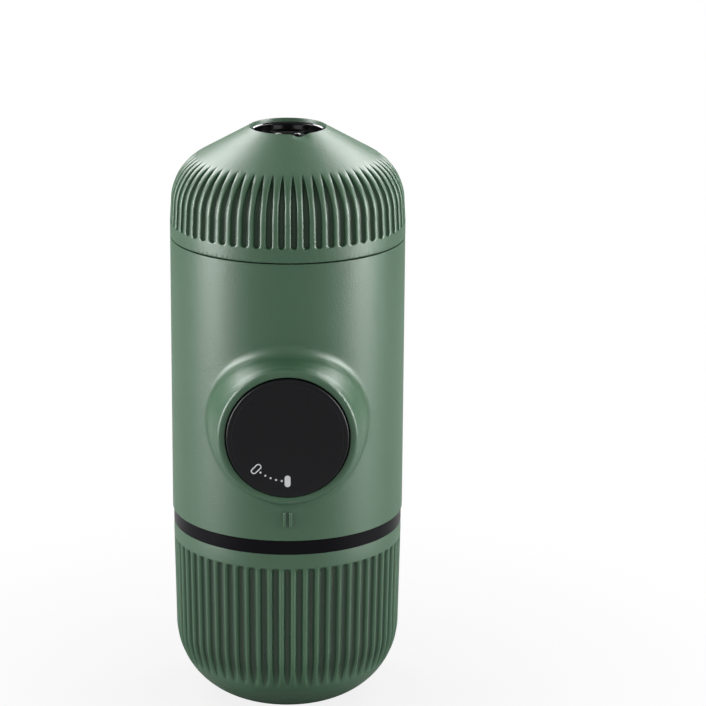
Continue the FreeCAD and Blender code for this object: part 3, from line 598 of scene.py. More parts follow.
def cup_mesh(settings):
    centre = CUP_WAIST - CUP_ROUND
    foot_angle = -math.asin(CUP_ROUND_TOP / CUP_ROUND)
    foot = centre + CUP_ROUND * math.cos(foot_angle)
    edge = CUP_FOOT_EDGE
    flat = foot - edge - POLE
    lip = CUP_TOP - CUP_LIP

    def wall(spacing, z0, z1):
        r0, r1 = (slid(CUP_WAIST, CUP_RIM, (z - CUP_ROUND_TOP) / (lip - CUP_ROUND_TOP)) for z in (z0, z1))
        return "line", spacing, r0, z0, r1, z1

    below, above = CUP_FLUTE_TOP - END_BELOW, CUP_FLUTE_TOP + END_ABOVE
    rows = path_along([
        ("line", CUP_PLAIN_ROWS, POLE, 0, foot - edge, 0),
        ("arc", CUP_ROUND_ROWS, centre, CUP_ROUND_TOP, CUP_ROUND, foot_angle + edge / CUP_ROUND, 0),
        wall(CUP_PLAIN_ROWS, CUP_ROUND_TOP, below),
        wall(CUP_END_ROWS, below, above),
        wall(CUP_RIM_ROWS, above, lip),
    ])
    first = flat + CUP_ROUND * (-foot_angle - math.asin((CUP_ROUND_TOP - CUP_FLUTE_FOOT) / CUP_ROUND))
    last = flat + CUP_ROUND * (-foot_angle - edge / CUP_ROUND) + (CUP_FLUTE_TOP - CUP_ROUND_TOP)
    half = settings.width / 2

    def openings(along):
        low_end = held((along - first) / CUP_FADE)
        top_end = end_share(last - along, half * CUP_END_SCOOP)
        return slid(CUP_FADE_WIDTH, 1, low_end) * max(top_end, CUP_END_WIDTH), low_end ** 0.5 * top_end

    inner_round = CUP_ROUND - CUP_WALL
    inner_angle = math.asin((CUP_ROUND_TOP - CUP_FLOOR) / inner_round)
    inside = [
        (CUP_RIM - 0.12 * MM, CUP_TOP - 0.1 * MM),
        (CUP_RIM - 0.45 * MM, CUP_TOP),
        (CUP_RIM - CUP_WALL + 0.3 * MM, CUP_TOP),
        (CUP_RIM - CUP_WALL, CUP_TOP - 0.3 * MM),
        (CUP_WAIST - CUP_WALL, CUP_ROUND_TOP),
    ]
    for k in range(1, INNER_STEPS + 1):
        x, y, _ = turned(inner_round, inner_angle * k / INNER_STEPS)
        inside.append((centre + x, CUP_ROUND_TOP - y))
    inside += [(CUP_FLOOR_FLAT, CUP_FLOOR), (POLE, CUP_FLOOR)]
    wedge = flute_wedge("cup_wedge", rows, inside, openings, CUP_RIB, settings)
    mesh = ring_of("cup_fluted", wedge, settings.count, -math.pi / 2, FINISHES["fluted"])
    return capped(mesh)


def capped(mesh):
    """The small holes left at the axis, filled."""
    tidy = bmesh.new()
    tidy.from_mesh(mesh)
    open_edges = [e for e in tidy.edges if len(e.link_faces) == 1]
    if open_edges:
        bmesh.ops.holes_fill(tidy, edges=open_edges, sides=0)
    bmesh.ops.recalc_face_normals(tidy, faces=tidy.faces)
    for face in tidy.faces:
        face.smooth = True
    tidy.to_mesh(mesh)
    tidy.free()
    return mesh


# Portafilter shell
HEAD_FOOT = 127.0 * MM
HEAD_STEP = 131 * MM
HEAD_WAIST = 30.7 * MM
HEAD_WAIST_HEIGHT = 136.2 * MM
HEAD_MIDWAY_HEIGHT = 132.2 * MM
HEAD_MIDWAY = slid(SHELL_TOP_RADIUS, HEAD_WAIST,
                   (HEAD_MIDWAY_HEIGHT - HEAD_STEP) / (HEAD_WAIST_HEIGHT - HEAD_STEP))
HEAD_EDGE = 0.3 * MM
MOUTH_EASE = 0.5 * MM
TAPER_WIDTH_POWER, TAPER_DEPTH_POWER, TAPER_DEPTH = 0.6, 0.7, 3.5
HEAD_SCOOP = 0.8
HEAD_SCOOP_WIDTH = 0.6
HEAD_TAPER = 9 * MM
SHOULDER_STEPS = 8
SHOULDER_ROUND = 14 * MM
CONE_SLOPE = math.radians(29.4)
MOUTH_RADIUS = 10.05 * MM
HEAD_WALL = 2.1 * MM
HEAD_FLUTE_FOOT = 130.6 * MM
HEAD_FLUTE_TOP_RADIUS = 23.7 * MM
NOTCH_TURN = math.radians(-72)
NOTCH_HALF = 2.0 * MM
NOTCH_DROP = 0.9 * MM
NOTCH_REACH = 1.6 * MM
NOTCH_FOOT = 4 * MM


def head_mesh(settings):
    centre = HEAD_WAIST - SHOULDER_ROUND
    shoulder = math.pi / 2 - CONE_SLOPE
    out_r = centre + SHOULDER_ROUND * math.cos(shoulder)
    out_z = HEAD_WAIST_HEIGHT + SHOULDER_ROUND * math.sin(shoulder)
    mouth_z = out_z + (out_r - MOUTH_RADIUS) * math.tan(CONE_SLOPE)
    lip_r = MOUTH_RADIUS + MOUTH_EASE * math.cos(CONE_SLOPE)
    lip_z = mouth_z - MOUTH_EASE * math.sin(CONE_SLOPE)
    wall, foot, flutes = SHELL_TOP_RADIUS, HEAD_FOOT + HEAD_EDGE, HEAD_FLUTE_FOOT - HEAD_EDGE
    rows = path_along([
        ("line", HEAD_PLAIN_ROWS, wall, foot, wall, flutes),
        ("line", HEAD_END_ROWS, wall, flutes, wall, HEAD_STEP),
        ("line", HEAD_OPEN_ROWS, wall, HEAD_STEP, HEAD_MIDWAY, HEAD_MIDWAY_HEIGHT),
        ("line", HEAD_PLAIN_ROWS, HEAD_MIDWAY, HEAD_MIDWAY_HEIGHT, HEAD_WAIST, HEAD_WAIST_HEIGHT),
        ("arc", HEAD_ROUND_ROWS, centre, HEAD_WAIST_HEIGHT, SHOULDER_ROUND, 0, shoulder),
        ("line", HEAD_PLAIN_ROWS, out_r, out_z, lip_r, lip_z),
    ])
    first = HEAD_FLUTE_FOOT - foot
    top_share = math.acos((HEAD_FLUTE_TOP_RADIUS - centre) / SHOULDER_ROUND)
    arc_start = HEAD_STEP - foot + math.hypot(wall - HEAD_WAIST, HEAD_WAIST_HEIGHT - HEAD_STEP)
    last = arc_start + SHOULDER_ROUND * top_share
    half = settings.width / 2

    def openings(along):
        low_end = end_share(along - first, half * HEAD_SCOOP)
        taper = held((last - along) / HEAD_TAPER)
        width = taper ** TAPER_WIDTH_POWER * max(low_end, HEAD_SCOOP_WIDTH)
        return width, low_end * min(1.0, taper * TAPER_DEPTH) ** TAPER_DEPTH_POWER

    inner_round = SHOULDER_ROUND - HEAD_WALL
    in_r = centre + inner_round * math.cos(shoulder)
    in_z = HEAD_WAIST_HEIGHT + inner_round * math.sin(shoulder)
    inner_mouth = in_z + (in_r - MOUTH_RADIUS) * math.tan(CONE_SLOPE)
    inside = [
        (MOUTH_RADIUS + 0.12 * MM, mouth_z - 0.02 * MM),
        (MOUTH_RADIUS, mouth_z - 0.25 * MM),
        (MOUTH_RADIUS, inner_mouth),
        (in_r, in_z),
    ]
    for k in range(1, SHOULDER_STEPS + 1):
        x, y, _ = turned(inner_round, shoulder * (1 - k / SHOULDER_STEPS))
        inside.append((centre + x, HEAD_WAIST_HEIGHT + y))
    inside += [
        (wall - HEAD_WALL, HEAD_FOOT + 0.2 * MM),
        (wall - HEAD_WALL + 0.3 * MM, HEAD_FOOT),
        (wall - 0.35 * MM, HEAD_FOOT),
        (wall - 0.08 * MM, HEAD_FOOT + 0.08 * MM),
        (wall, foot),
    ]
    wedge = flute_wedge("head_wedge", rows, inside, openings, HEAD_RIB, settings)
    half_pitch = math.pi / settings.count
    mesh = ring_of("head_fluted", wedge, settings.count, -math.pi / 2 + half_pitch, FINISHES["fluted"])
    notch(mesh, mouth_z)
    return mesh


def notch(mesh, mouth_z):
    """The small finger notch in the mouth's front rim."""
    way = Vector(turned(1, NOTCH_TURN))
    reach = NOTCH_HALF * 1.5
    for vertex in mesh.vertices:
        flat = Vector((vertex.co.x, vertex.co.y, 0))
        out = flat.length - MOUTH_RADIUS
        if out > NOTCH_REACH or vertex.co.z < mouth_z - NOTCH_FOOT or flat.dot(way) < 0:
            continue
        aside = flat.cross(way).length
        if aside < reach:
            fall = 0.5 + 0.5 * math.cos(math.pi * aside / reach)
            vertex.co.z -= NOTCH_DROP * fall * (1 - max(0.0, out) / NOTCH_REACH)


# Main shell
SHELL_WALL = 1.9 * MM
BOSS_FACE = 39.2 * MM
BOSS_RIM = 18.2 * MM
BOSS_MID = 20.3 * MM
BOSS_MID_DEPTH = 31 * MM
BOSS_ROOT = 21.2 * MM
BOSS_BACK = 20 * MM
BOSS_BORE = 16.1 * MM
BOSS_LIP = 1.0 * MM
BORE_EDGE, BORE_EDGE_MID = 0.3 * MM, 0.08 * MM
LIP_TURN = 0.25
SLOPE_STEP = 0.01 * MM
HALVINGS = 40
BOSS_BLEND = 3.4 * MM
BOSS_EDGE = 27.5 * MM
AROUND_BOSS = 144
SIDE_ROWS = 40
SHELL_STEPS = 14
LIP_STEPS, WALL_STEPS, BLEND_STEPS, EDGE_STEPS = 7, 7, 10, 5


def shell_radius_at(z, inner):
    if inner:
        return SHELL_RADIUS - SHELL_WALL
    return slid(SHELL_RADIUS, SHELL_TOP_RADIUS, (z - SHELL_FOOT) / (SHELL_TOP - SHELL_FOOT))


def on_shell(across, z, inner):
    """The point of the shell at an unrolled distance across from the front line."""
    return Vector(turned(shell_radius_at(z, inner), across / SHELL_RADIUS - math.pi / 2, z))


def boss_wall_radius(y):
    """Radius of the drafted boss wall at a depth y, which is negative towards the front."""
    if -y > BOSS_MID_DEPTH:
        return slid(BOSS_MID, BOSS_RIM, (-y - BOSS_MID_DEPTH) / (BOSS_FACE - BOSS_MID_DEPTH))
    return slid(BOSS_ROOT, BOSS_MID, (-y - BOSS_BACK) / (BOSS_MID_DEPTH - BOSS_BACK))


def boss_ray(turn):
    """Points (distance from the knob's axis, y) from the boss's bore out onto the shell, at one turn."""
    cosine = math.cos(turn)

    def shell_y(rho):
        x = rho * cosine
        z = KNOB_HEIGHT + rho * math.sin(turn)
        r = shell_radius_at(z, False)
        return -math.sqrt(r * r - x * x)

    def blend_centre(rho):
        slope = (shell_y(rho + SLOPE_STEP) - shell_y(rho - SLOPE_STEP)) / (2 * SLOPE_STEP)
        size = math.hypot(slope, 1)
        return rho + BOSS_BLEND * slope / size, shell_y(rho) - BOSS_BLEND / size

    near, far = BOSS_MID - 1 * MM, BOSS_EDGE
    for _ in range(HALVINGS):
        middle = (near + far) / 2
        centre = blend_centre(middle)
        if centre[0] - boss_wall_radius(centre[1]) < BOSS_BLEND:
            near = middle
        else:
            far = middle
    touch = (near + far) / 2
    centre = blend_centre(touch)
    wall_slope = (BOSS_ROOT - BOSS_MID) / (BOSS_MID_DEPTH - BOSS_BACK)
    wall_angle = math.pi - math.atan(wall_slope)
    shell_angle = math.atan2(shell_y(touch) - centre[1], touch - centre[0])
    points = [(BOSS_BORE, BORE_EDGE - BOSS_FACE), (BOSS_BORE + BORE_EDGE_MID, BORE_EDGE_MID - BOSS_FACE),
              (BOSS_BORE + BORE_EDGE, -BOSS_FACE)]
    lip = (BOSS_RIM - BOSS_LIP, -BOSS_FACE + BOSS_LIP)
    for k in range(LIP_STEPS + 1):
        x, y, _ = turned(BOSS_LIP, slid(-math.pi / 2, LIP_TURN, k / LIP_STEPS))
        points.append((lip[0] + x, lip[1] + y))
    wall_end = centre[1] + BOSS_BLEND * math.sin(wall_angle)
    wall_start = points[-1][1]
    for k in range(1, WALL_STEPS):
        y = slid(wall_start, wall_end, k / WALL_STEPS)
        points.append((boss_wall_radius(y), y))
    if shell_angle < 0:
        shell_angle += TURN
    for k in range(BLEND_STEPS + 1):
        x, y, _ = turned(BOSS_BLEND, slid(wall_angle, shell_angle, k / BLEND_STEPS))
        points.append((centre[0] + x, centre[1] + y))
    for k in range(1, EDGE_STEPS + 1):
        rho = slid(touch, BOSS_EDGE, k / EDGE_STEPS)
        points.append((rho, shell_y(rho)))
    return points


def border_point(index, count):
    """A point of the front half's rectangle border, unrolled, facing the knob's axis at a share of a turn."""
    half_width = SHELL_RADIUS * math.pi / 2
    up, down = SHELL_TOP - KNOB_HEIGHT, KNOB_HEIGHT - SHELL_FOOT
    side, step = divmod(index + count // 8, count // 4)
    share = step / (count // 4)
    borders = (
        (half_width, -down + (up + down) * share),
        (half_width * (1 - 2 * share), up),
        (-half_width, up - (up + down) * share),
        (half_width * (2 * share - 1), -down),
    )
    return borders[side % 4]


def shell_skin(inner):
    """One side of the main shell: rings round the boss, then rows out to the front half's border."""
    rings = []
    for j in range(AROUND_BOSS):
        turn = TURN * j / AROUND_BOSS
        c, s = math.cos(turn), math.sin(turn)
        if inner:
            edge_rho = BOSS_BORE
            x, z = edge_rho * c, KNOB_HEIGHT + edge_rho * s
            r = shell_radius_at(z, True)
            column = [Vector((x, -math.sqrt(r * r - x * x), z))]
        else:
            edge_rho = BOSS_EDGE
            column = [Vector((rho * c, y, KNOB_HEIGHT + rho * s)) for rho, y in boss_ray(turn)]
        last = column[-1]
        start = (SHELL_RADIUS * math.atan2(last.x, -last.y), edge_rho * s)
        end = border_point(j, AROUND_BOSS)
        for k in range(1, SHELL_STEPS + 1):
            across, z = (slid(a, b, k / SHELL_STEPS) for a, b in zip(start, end))
            column.append(on_shell(across, KNOB_HEIGHT + z, inner))
        rings.append(column)
    return rings


def shell_mesh():
    """The main shell: both skins of the front half, the boss's bore, the back half and the two rims."""
    verts, faces = [], []

    def add_grid(columns, closed):
        faces.extend(net(len(verts), len(columns), len(columns[0]), closed, wrapped=False))
        for column in columns:
            verts.extend(column)

    skins = [shell_skin(False), shell_skin(True)]
    for skin in skins:
        add_grid(skin, True)
    bore = []
    for outer, inner in zip(*skins):
        bore.append([outer[0].lerp(inner[0], k / 4) for k in range(5)])
    add_grid(bore, True)
    border = [border_point(j, AROUND_BOSS) for j in range(AROUND_BOSS)]
    levels = sorted({round(z, 9) for across, z in border if across > SHELL_RADIUS * 1.57})
    for inner in (False, True):
        columns = []
        for k in range(SIDE_ROWS + 1):
            across = SHELL_RADIUS * (math.pi / 2 + math.pi * k / SIDE_ROWS)
            columns.append([on_shell(across, KNOB_HEIGHT + z, inner) for z in levels])
        add_grid(columns, False)
    corner = AROUND_BOSS // 8
    turns = [across / SHELL_RADIUS for across, z in border[corner:3 * corner + 1]]
    turns += [math.pi / 2 + math.pi * k / SIDE_ROWS for k in range(1, SIDE_ROWS)]
    return_turns = sorted({round(t % TURN, 9) for t in turns})
    for z in (SHELL_FOOT, SHELL_TOP):
        rims = []
        for turn in return_turns:
            across = turn * SHELL_RADIUS
            rims.append([on_shell(across, z, False), on_shell(across, z, True)])
        add_grid(rims, True)
    return mesh_from("shell_skin", verts, faces, 50)


INDEX_HEIGHT = 58 * MM
INDEX_LENGTH = 4.1 * MM
INDEX_WIDTH = 0.72 * MM
INDEX_APART = 1.55 * MM
INDEX_PROUD = 0.7 * MM
INDEX_LAYERS = ((1.0, -0.25), (1.0, 0.55), (0.82, 0.88), (0.45, 1.0))
INDEX_POINTS = 24


def index_mesh():
    """Two small upright bars moulded on the shell under the knob, with rounded ends and tops."""
    verts, faces = [], []
    straight = (INDEX_LENGTH - INDEX_WIDTH) / 2
    for side in (-1, 1):
        first = len(verts)
        for share, out in INDEX_LAYERS:
            for k in range(INDEX_POINTS):
                x, z, _ = turned(INDEX_WIDTH / 2 * share, TURN * k / INDEX_POINTS)
                z += INDEX_HEIGHT + math.copysign(straight, z)
                verts.append((side * INDEX_APART / 2 + x, -SHELL_RADIUS - INDEX_PROUD * out, z))
        faces += net(first, len(INDEX_LAYERS), INDEX_POINTS, closed=False)
        faces.append(tuple(range(first, first + INDEX_POINTS)))
        faces.append(tuple(range(len(verts) - INDEX_POINTS, len(verts))))
    return mesh_from("index_bars", verts, faces, 50)


# Knob
KNOB_RADIUS = 15.8 * MM
KNOB_FACE = 39.94 * MM
KNOB_BACK = 36.3 * MM
KNOB_RING, KNOB_RING_WIDTH, KNOB_RING_DEPTH = 1.5 * MM, 0.15 * MM, 0.07 * MM
KNOB_RIM_DROP = 0.05 * MM
MARK_RADIUS = 11.4 * MM
MARK_DEPTH = 0.06 * MM
PILL_POINTS, DOT_POINTS = 28, 14
DOT_RADIUS = 0.27 * MM
DOTS = 5
LOCK_PILL = (1.55 * MM, 3.1 * MM)
OPEN_PILL = (1.6 * MM, 3.2 * MM)
OPEN_PILL_LINE = 0.3 * MM


def knob_mesh():
    """The knob's disc: flat face, a soft rim and a shallow ring where the face meets the rim."""
    outline = [
        (0, -KNOB_FACE), (KNOB_RADIUS - KNOB_RING, -KNOB_FACE, 0.3),
        (KNOB_RADIUS - KNOB_RING + KNOB_RING_WIDTH, KNOB_RING_DEPTH - KNOB_FACE, 0.1),
        (KNOB_RADIUS, KNOB_RIM_DROP - KNOB_FACE, 1.1), (KNOB_RADIUS, -KNOB_BACK, 0.3), (0, -KNOB_BACK),
    ]
    return spun("knob_disc", outline, about_y=True, segments=192, smooth_angle=60)


def flat_mark(points):
    """A thin printed shape on the knob's face from (x, z) points round the knob's axis."""
    count = len(points)
    verts = []
    for y in (-KNOB_FACE - MARK_DEPTH, -KNOB_FACE + MARK_DEPTH):
        verts += [(x, y, KNOB_HEIGHT + z) for x, z in points]
    faces = [tuple(range(count)), tuple(reversed(range(count, 2 * count)))]
    return verts, faces + net(0, 2, count, closed=False)


def pill(turn, width, length, grow=0.0):
    """Points of a pill shape whose length lies along the knob's radius."""
    points = []
    straight = (length - width) / 2
    for k in range(PILL_POINTS):
        u, v, _ = turned(width / 2 + grow, TURN * k / PILL_POINTS)
        u += MARK_RADIUS + math.copysign(straight, u)
        points.append((u * math.cos(turn) - v * math.sin(turn), u * math.sin(turn) + v * math.cos(turn)))
    return points


def marks_mesh():
    """The lock mark, the unlock mark and the dots between them."""
    verts, faces = [], []

    def add(shape):
        faces.extend(tuple(i + len(verts) for i in face) for face in shape[1])
        verts.extend(shape[0])

    lock_turn, open_turn = -math.pi / 2, -math.pi * 3 / 4
    add(flat_mark(pill(lock_turn, *LOCK_PILL)))
    outer = pill(open_turn, *OPEN_PILL)
    inner = pill(open_turn, *OPEN_PILL, -OPEN_PILL_LINE)
    front, back = -KNOB_FACE - MARK_DEPTH, -KNOB_FACE + MARK_DEPTH
    loops = ((outer, front), (inner, front), (inner, back), (outer, back))
    add(([(x, y, KNOB_HEIGHT + z) for loop, y in loops for x, z in loop], net(0, 4, PILL_POINTS)))
    for k in range(1, DOTS + 1):
        x, z, _ = turned(MARK_RADIUS, slid(lock_turn, open_turn, k / (DOTS + 1)))
        dot = [turned(DOT_RADIUS, TURN * i / DOT_POINTS)[:2] for i in range(DOT_POINTS)]
        add(flat_mark([(x + u, z + v) for u, v in dot]))
    return mesh_from("knob_marks", verts, faces, 30)


# Outlet nozzle
NOZZLE_LOBES = 6
NOZZLE_DIP = 1.5 * MM
NOZZLE_POINTS = 144
LOBE_FOOT = 148 * MM
LOBE_INNER, LOBE_FADE = 5.4 * MM, 1.2 * MM


def nozzle_mesh():
    """The glossy nozzle in the mouth: a lobed dome round a short spout with a deep outlet."""
    foot = low("outlet_nozzle").z
    outline = eased(mm([
        (2.3, foot / MM, 0), (6.2, foot / MM, 0.3), (6.2, 143.2, 0), (9.2, 143.6, 0.3), (9.1, 149.8, 2.2),
        (7.6, 152.7, 1.0), (6.4, 152.7, 0.8), (5.4, 151.9, 0.8), (4.6, 153.6, 0.5), (3.4, 153.6, 0.4),
        (3.2, 151.5, 0.3), (2.3, 149.5, 0.3),
    ]), 0.2 * MM, 6)
    verts = []
    for j in range(NOZZLE_POINTS):
        turn = TURN * j / NOZZLE_POINTS
        dip = NOZZLE_DIP * (0.5 - 0.5 * math.cos(NOZZLE_LOBES * turn))
        for r, z in outline:
            reach = held((r - LOBE_INNER) / LOBE_FADE) if z > LOBE_FOOT else 0.0
            verts.append(turned(r, turn, z - dip * reach))
    faces = net(0, NOZZLE_POINTS, len(outline))
    return mesh_from("nozzle_dome", verts, faces, 60)


def liner_mesh():
    """The black sleeve inside the mouth, just behind the shell's rim."""
    return spun("mouth_liner", mm([(9.45, 148.6), (9.93, 148.6), (9.93, 155.1, 0.15), (9.45, 154.7, 0.2)]))


# Wound spring and threads
def tube(name, points, radius, sides=10):
    """A round wire along points, with closed ends."""
    verts = []
    count = len(points)
    for i, here in enumerate(points):
        ahead = (points[min(i + 1, count - 1)] - points[max(i - 1, 0)]).normalized()
        across = ahead.cross(Vector((0, 1, 0))).normalized()
        up = across.cross(ahead).normalized()
        for k in range(sides):
            turn = TURN * k / sides
            verts.append(here + (across * math.cos(turn) + up * math.sin(turn)) * radius)
    faces = net(0, count, sides, closed=False)
    faces += [tuple(range(sides)), tuple(range((count - 1) * sides, count * sides))]
    return mesh_from(name, verts, faces, 60)


SPRING_TURNS = 6.5
SPRING_WIRE = 0.55 * MM
SPRING_STEPS = 40
CLOSED_TURNS = 1.0
CLOSED_SHARE = 0.09


def spring_mesh():
    """The return spring: closed end coils and an open middle, on the plunger's rod."""
    front, back = low("return_spring").y + SPRING_WIRE, high("return_spring").y - SPRING_WIRE
    radius = high("return_spring").x - SPRING_WIRE - 0.05 * MM
    points = []
    steps = int(SPRING_TURNS * SPRING_STEPS)
    for i in range(steps + 1):
        turns = SPRING_TURNS * i / steps
        lead_in = held(turns / CLOSED_TURNS)
        lead_out = held((turns - SPRING_TURNS + CLOSED_TURNS) / CLOSED_TURNS)
        middle = held((turns - CLOSED_TURNS) / (SPRING_TURNS - 2 * CLOSED_TURNS))
        along = CLOSED_SHARE * (lead_in + lead_out) + (1 - 2 * CLOSED_SHARE) * middle
        x, z, _ = turned(radius, TURN * turns)
        points.append(Vector((x, slid(front, back, along), KNOB_HEIGHT + z)))
    return tube("spring_wire", points, SPRING_WIRE)


THREAD_LEAD = 12 * MM
THREAD_STARTS = 4
THREAD_PROUD = 0.2 * MM
THREAD_HALF = 0.9 * MM
THREAD_STEPS = 72
# Radius, foot and top of each thread
THREAD_SIZES = {
    "tank_thread": (27.2 * MM, 54.2 * MM, 59 * MM),
    "head_thread": (26.5 * MM, 118.6 * MM, 124 * MM),
}
THREAD_FADE, THREAD_END = 0.12, 0.15
THREAD_SECTION = ((-0.75, -0.06), (-0.42, 0.6), (-0.2, 1.0), (0.2, 1.0), (0.42, 0.6), (0.75, -0.06))


def thread_mesh(name):
    """Four low screw ridges, coarse and rounded, that run up a neck at the thread's lead."""
    radius, foot, top = THREAD_SIZES[name]
    verts, faces = [], []
    height = top - foot
    width = len(THREAD_SECTION)
    for start in range(THREAD_STARTS):
        first = len(verts)
        for i in range(THREAD_STEPS + 1):
            share = i / THREAD_STEPS
            turn = TURN * (start / THREAD_STARTS + height * share / THREAD_LEAD)
            fade = min(1.0, share / THREAD_FADE, (1 - share) / THREAD_FADE)
            for along, out in THREAD_SECTION:
                r = radius + THREAD_PROUD * (out * fade if out > 0 else out)
                rise = along * THREAD_HALF * max(fade, THREAD_END)
                verts.append(turned(r, turn, foot + height * share + rise))
        faces += net(first, THREAD_STEPS + 1, width, closed=False)
        faces += [tuple(range(first, first + width)), tuple(range(len(verts) - width, len(verts)))]
    return mesh_from(name, verts, faces, 60)


# Perforated steel
HOLE_RADIUS = 0.42 * MM
RING_STEP = 2.0 * MM
RING_LAG = 0.4
PLAIN_MIDDLE = 1.0 * MM
SHOWER_BORE = 2.4 * MM
# The basket's outline, in millimetres
BASKET_RADIUS, BASKET_SHEET, SIEVE_RADIUS = 23.2, 0.5, 21.6


def sieve_wedge(name, inner, outer, count, foot, top):
    """One cell of a ring of holes: a sector of sheet with a round hole through it."""
    half, middle = math.pi / count, (inner + outer) / 2
    corners = [half * s for s in (-1.0, -0.5, 0.0, 0.5, 1.0)]
    rim = [(outer, a) for a in corners] + [(middle, half)]
    rim += [(inner, a) for a in reversed(corners)] + [(middle, -half)]
    loop = [turned(r, a)[:2] for r, a in rim]
    hole = []
    for x, y in loop:
        u, v, _ = turned(HOLE_RADIUS, math.atan2(y, x - middle))
        hole.append((middle + u, v))
    rings = ((loop, top), (hole, top), (hole, foot), (loop, foot))
    mesh = bpy.data.meshes.new(name)
    verts = [(x, y, z) for ring, z in rings for x, y in ring]
    mesh.from_pydata(verts, [], net(0, len(rings), len(loop), closed=False))
    return mesh


def sieve_mesh(name, bore, radius, foot, top):
    """A round sheet with rings of holes, from a bore out to a plain margin."""
    meshes = []
    start = max(bore, PLAIN_MIDDLE)
    rings = int((radius - start) / RING_STEP)
    for k in range(rings):
        inner = start + RING_STEP * k
        outer = inner + RING_STEP
        count = max(6, round(TURN * (inner + outer) / 2 / RING_STEP))
        wedge = sieve_wedge(f"{name}_cell_{k}", inner, outer, count, foot, top)
        meshes.append(ring_of(f"{name}_ring_{k}", wedge, count, k * RING_LAG, FINISHES["steel"], 30))
    edge = start + RING_STEP * rings
    margin = [(edge, foot), (radius, foot), (radius, top), (edge, top)]
    meshes.append(spun(name + "_margin", margin, ease=0.05 * MM))
    if bore <= 0:
        meshes.append(spun(name + "_middle", [(0, foot), (start, foot), (start, top), (0, top)], ease=0))
    return joined(name, meshes)


def basket_mesh():
    """The steel basket: flanged foot, drawn wall with a rounded shoulder, and its sieve."""
    foot, top = low("filter_basket").z / MM, high("filter_basket").z / MM
    rim = radius_of("filter_basket") / MM
    inner, under, step = BASKET_RADIUS - BASKET_SHEET, top - BASKET_SHEET, foot + BASKET_SHEET
    wall = spun("basket_wall", mm([
        (inner, foot, 0.1), (rim, foot, 0.2), (rim, step, 0.2), (BASKET_RADIUS, step, 0.3),
        (BASKET_RADIUS, top, 1.2), (SIEVE_RADIUS, top, 0), (SIEVE_RADIUS, under, 0), (inner, under, 0.8),
    ]))
    sieve = sieve_mesh("basket_sieve", 0, SIEVE_RADIUS * MM, under * MM, top * MM)
    return joined("basket_steel", [wall, sieve])


def shower_mesh():
    """The shower plate, a thin steel disc full of small holes."""
    foot, top = low("shower_plate").z, high("shower_plate").z
    return sieve_mesh("shower_sieve", SHOWER_BORE, radius_of("shower_plate"), foot, top)


# Screws
SCREW_RECESS = 0.55
SCREW_SHANK = 1.2 * MM
SCREW_TIP, TIP_SHARE = 0.5 * MM, 0.7
RECESS_MARGIN = 1.12
SEAT_MARGIN = 0.1 * MM
RECESS_DEPTH = 0.6
RECESS_SIDES = 6
HEAD_SHARE = 0.9


def screw_mesh(node):
    """Every screw of a node: a rounded head with a six-sided drive recess, and its shank."""
    meshes = []
    source = bmesh.new()
    source.from_mesh(frame["nodes"][node].data)
    bmesh.ops.remove_doubles(source, verts=source.verts, dist=FRAME_MERGE)
    left = set(source.verts)
    while left:
        island, edge = set(), [next(iter(left))]
        while edge:
            vertex = edge.pop()
            if vertex in island:
                continue
            island.add(vertex)
            edge += [e.other_vert(vertex) for e in vertex.link_edges]
        left -= island
        meshes.append(one_screw(node, island))
    source.free()
    return joined(node + "_drive", meshes)


def one_screw(node, island):
    """A screw in the place of one CAD screw, given by that screw's vertices."""
    lowest, highest = (Vector([pick(v.co[i] for v in island) for i in range(3)]) for pick in (min, max))
    spans, centre = highest - lowest, (lowest + highest) / 2
    axis = max(range(3), key=lambda i: spans[i])
    others = [i for i in range(3) if i != axis]
    head = max(spans[i] for i in others) / 2
    off_axis = {v: math.hypot(*(v.co[i] - centre[i] for i in others)) for v in island}
    wide = [v.co[axis] for v in island if off_axis[v] > head * HEAD_SHARE]
    outward = sum(wide) / len(wide) > centre[axis]
    top = spans[axis] / 2
    seat = top - (max(wide) - min(wide))
    recess, recess_foot = head * SCREW_RECESS, slid(top, seat, RECESS_DEPTH)
    mesh = spun(node + "_screw", [
        (0, -top, 0), (SCREW_SHANK * TIP_SHARE, -top, 0), (SCREW_SHANK, SCREW_TIP - top, 0),
        (SCREW_SHANK, seat, 0),
        (head, seat, 0.1), (head, top, 0.5), (recess, top, 0.08), (recess, recess_foot, 0),
        (0, recess_foot, 0),
    ], segments=48)
    side = TURN / RECESS_SIDES
    for vertex in mesh.vertices:
        x, y, z = vertex.co
        if z > seat + SEAT_MARGIN and math.hypot(x, y) < recess * RECESS_MARGIN:
            shape = math.cos(side / 2) / math.cos(math.atan2(y, x) % side - side / 2)
            vertex.co = (x * shape, y * shape, z)
    if axis == 2:
        turn = 0 if outward else math.pi
    else:
        turn = -math.pi / 2 if outward else math.pi / 2
    mesh.transform(Matrix.Translation(centre) @ Matrix.Rotation(turn, 4, "X"))
    return mesh


# Parts carried over from the frame
def dressed(node, angle=32):
    """A merged, smooth copy of a node's mesh that stands for it."""
    mesh = frame["nodes"][node].data.copy()
    mesh.name = node + "_skin"
    shade_copy(mesh, angle)
    return even(piece_of(node + "_dressed", mesh, node, body_of(node)))


def even(thing):
    """The piece with its flat faces shaded flat, right up to their rounded edges."""
    weigh = thing.modifiers.new("even_normals", "WEIGHTED_NORMAL")
    weigh.keep_sharp = True
    return thing


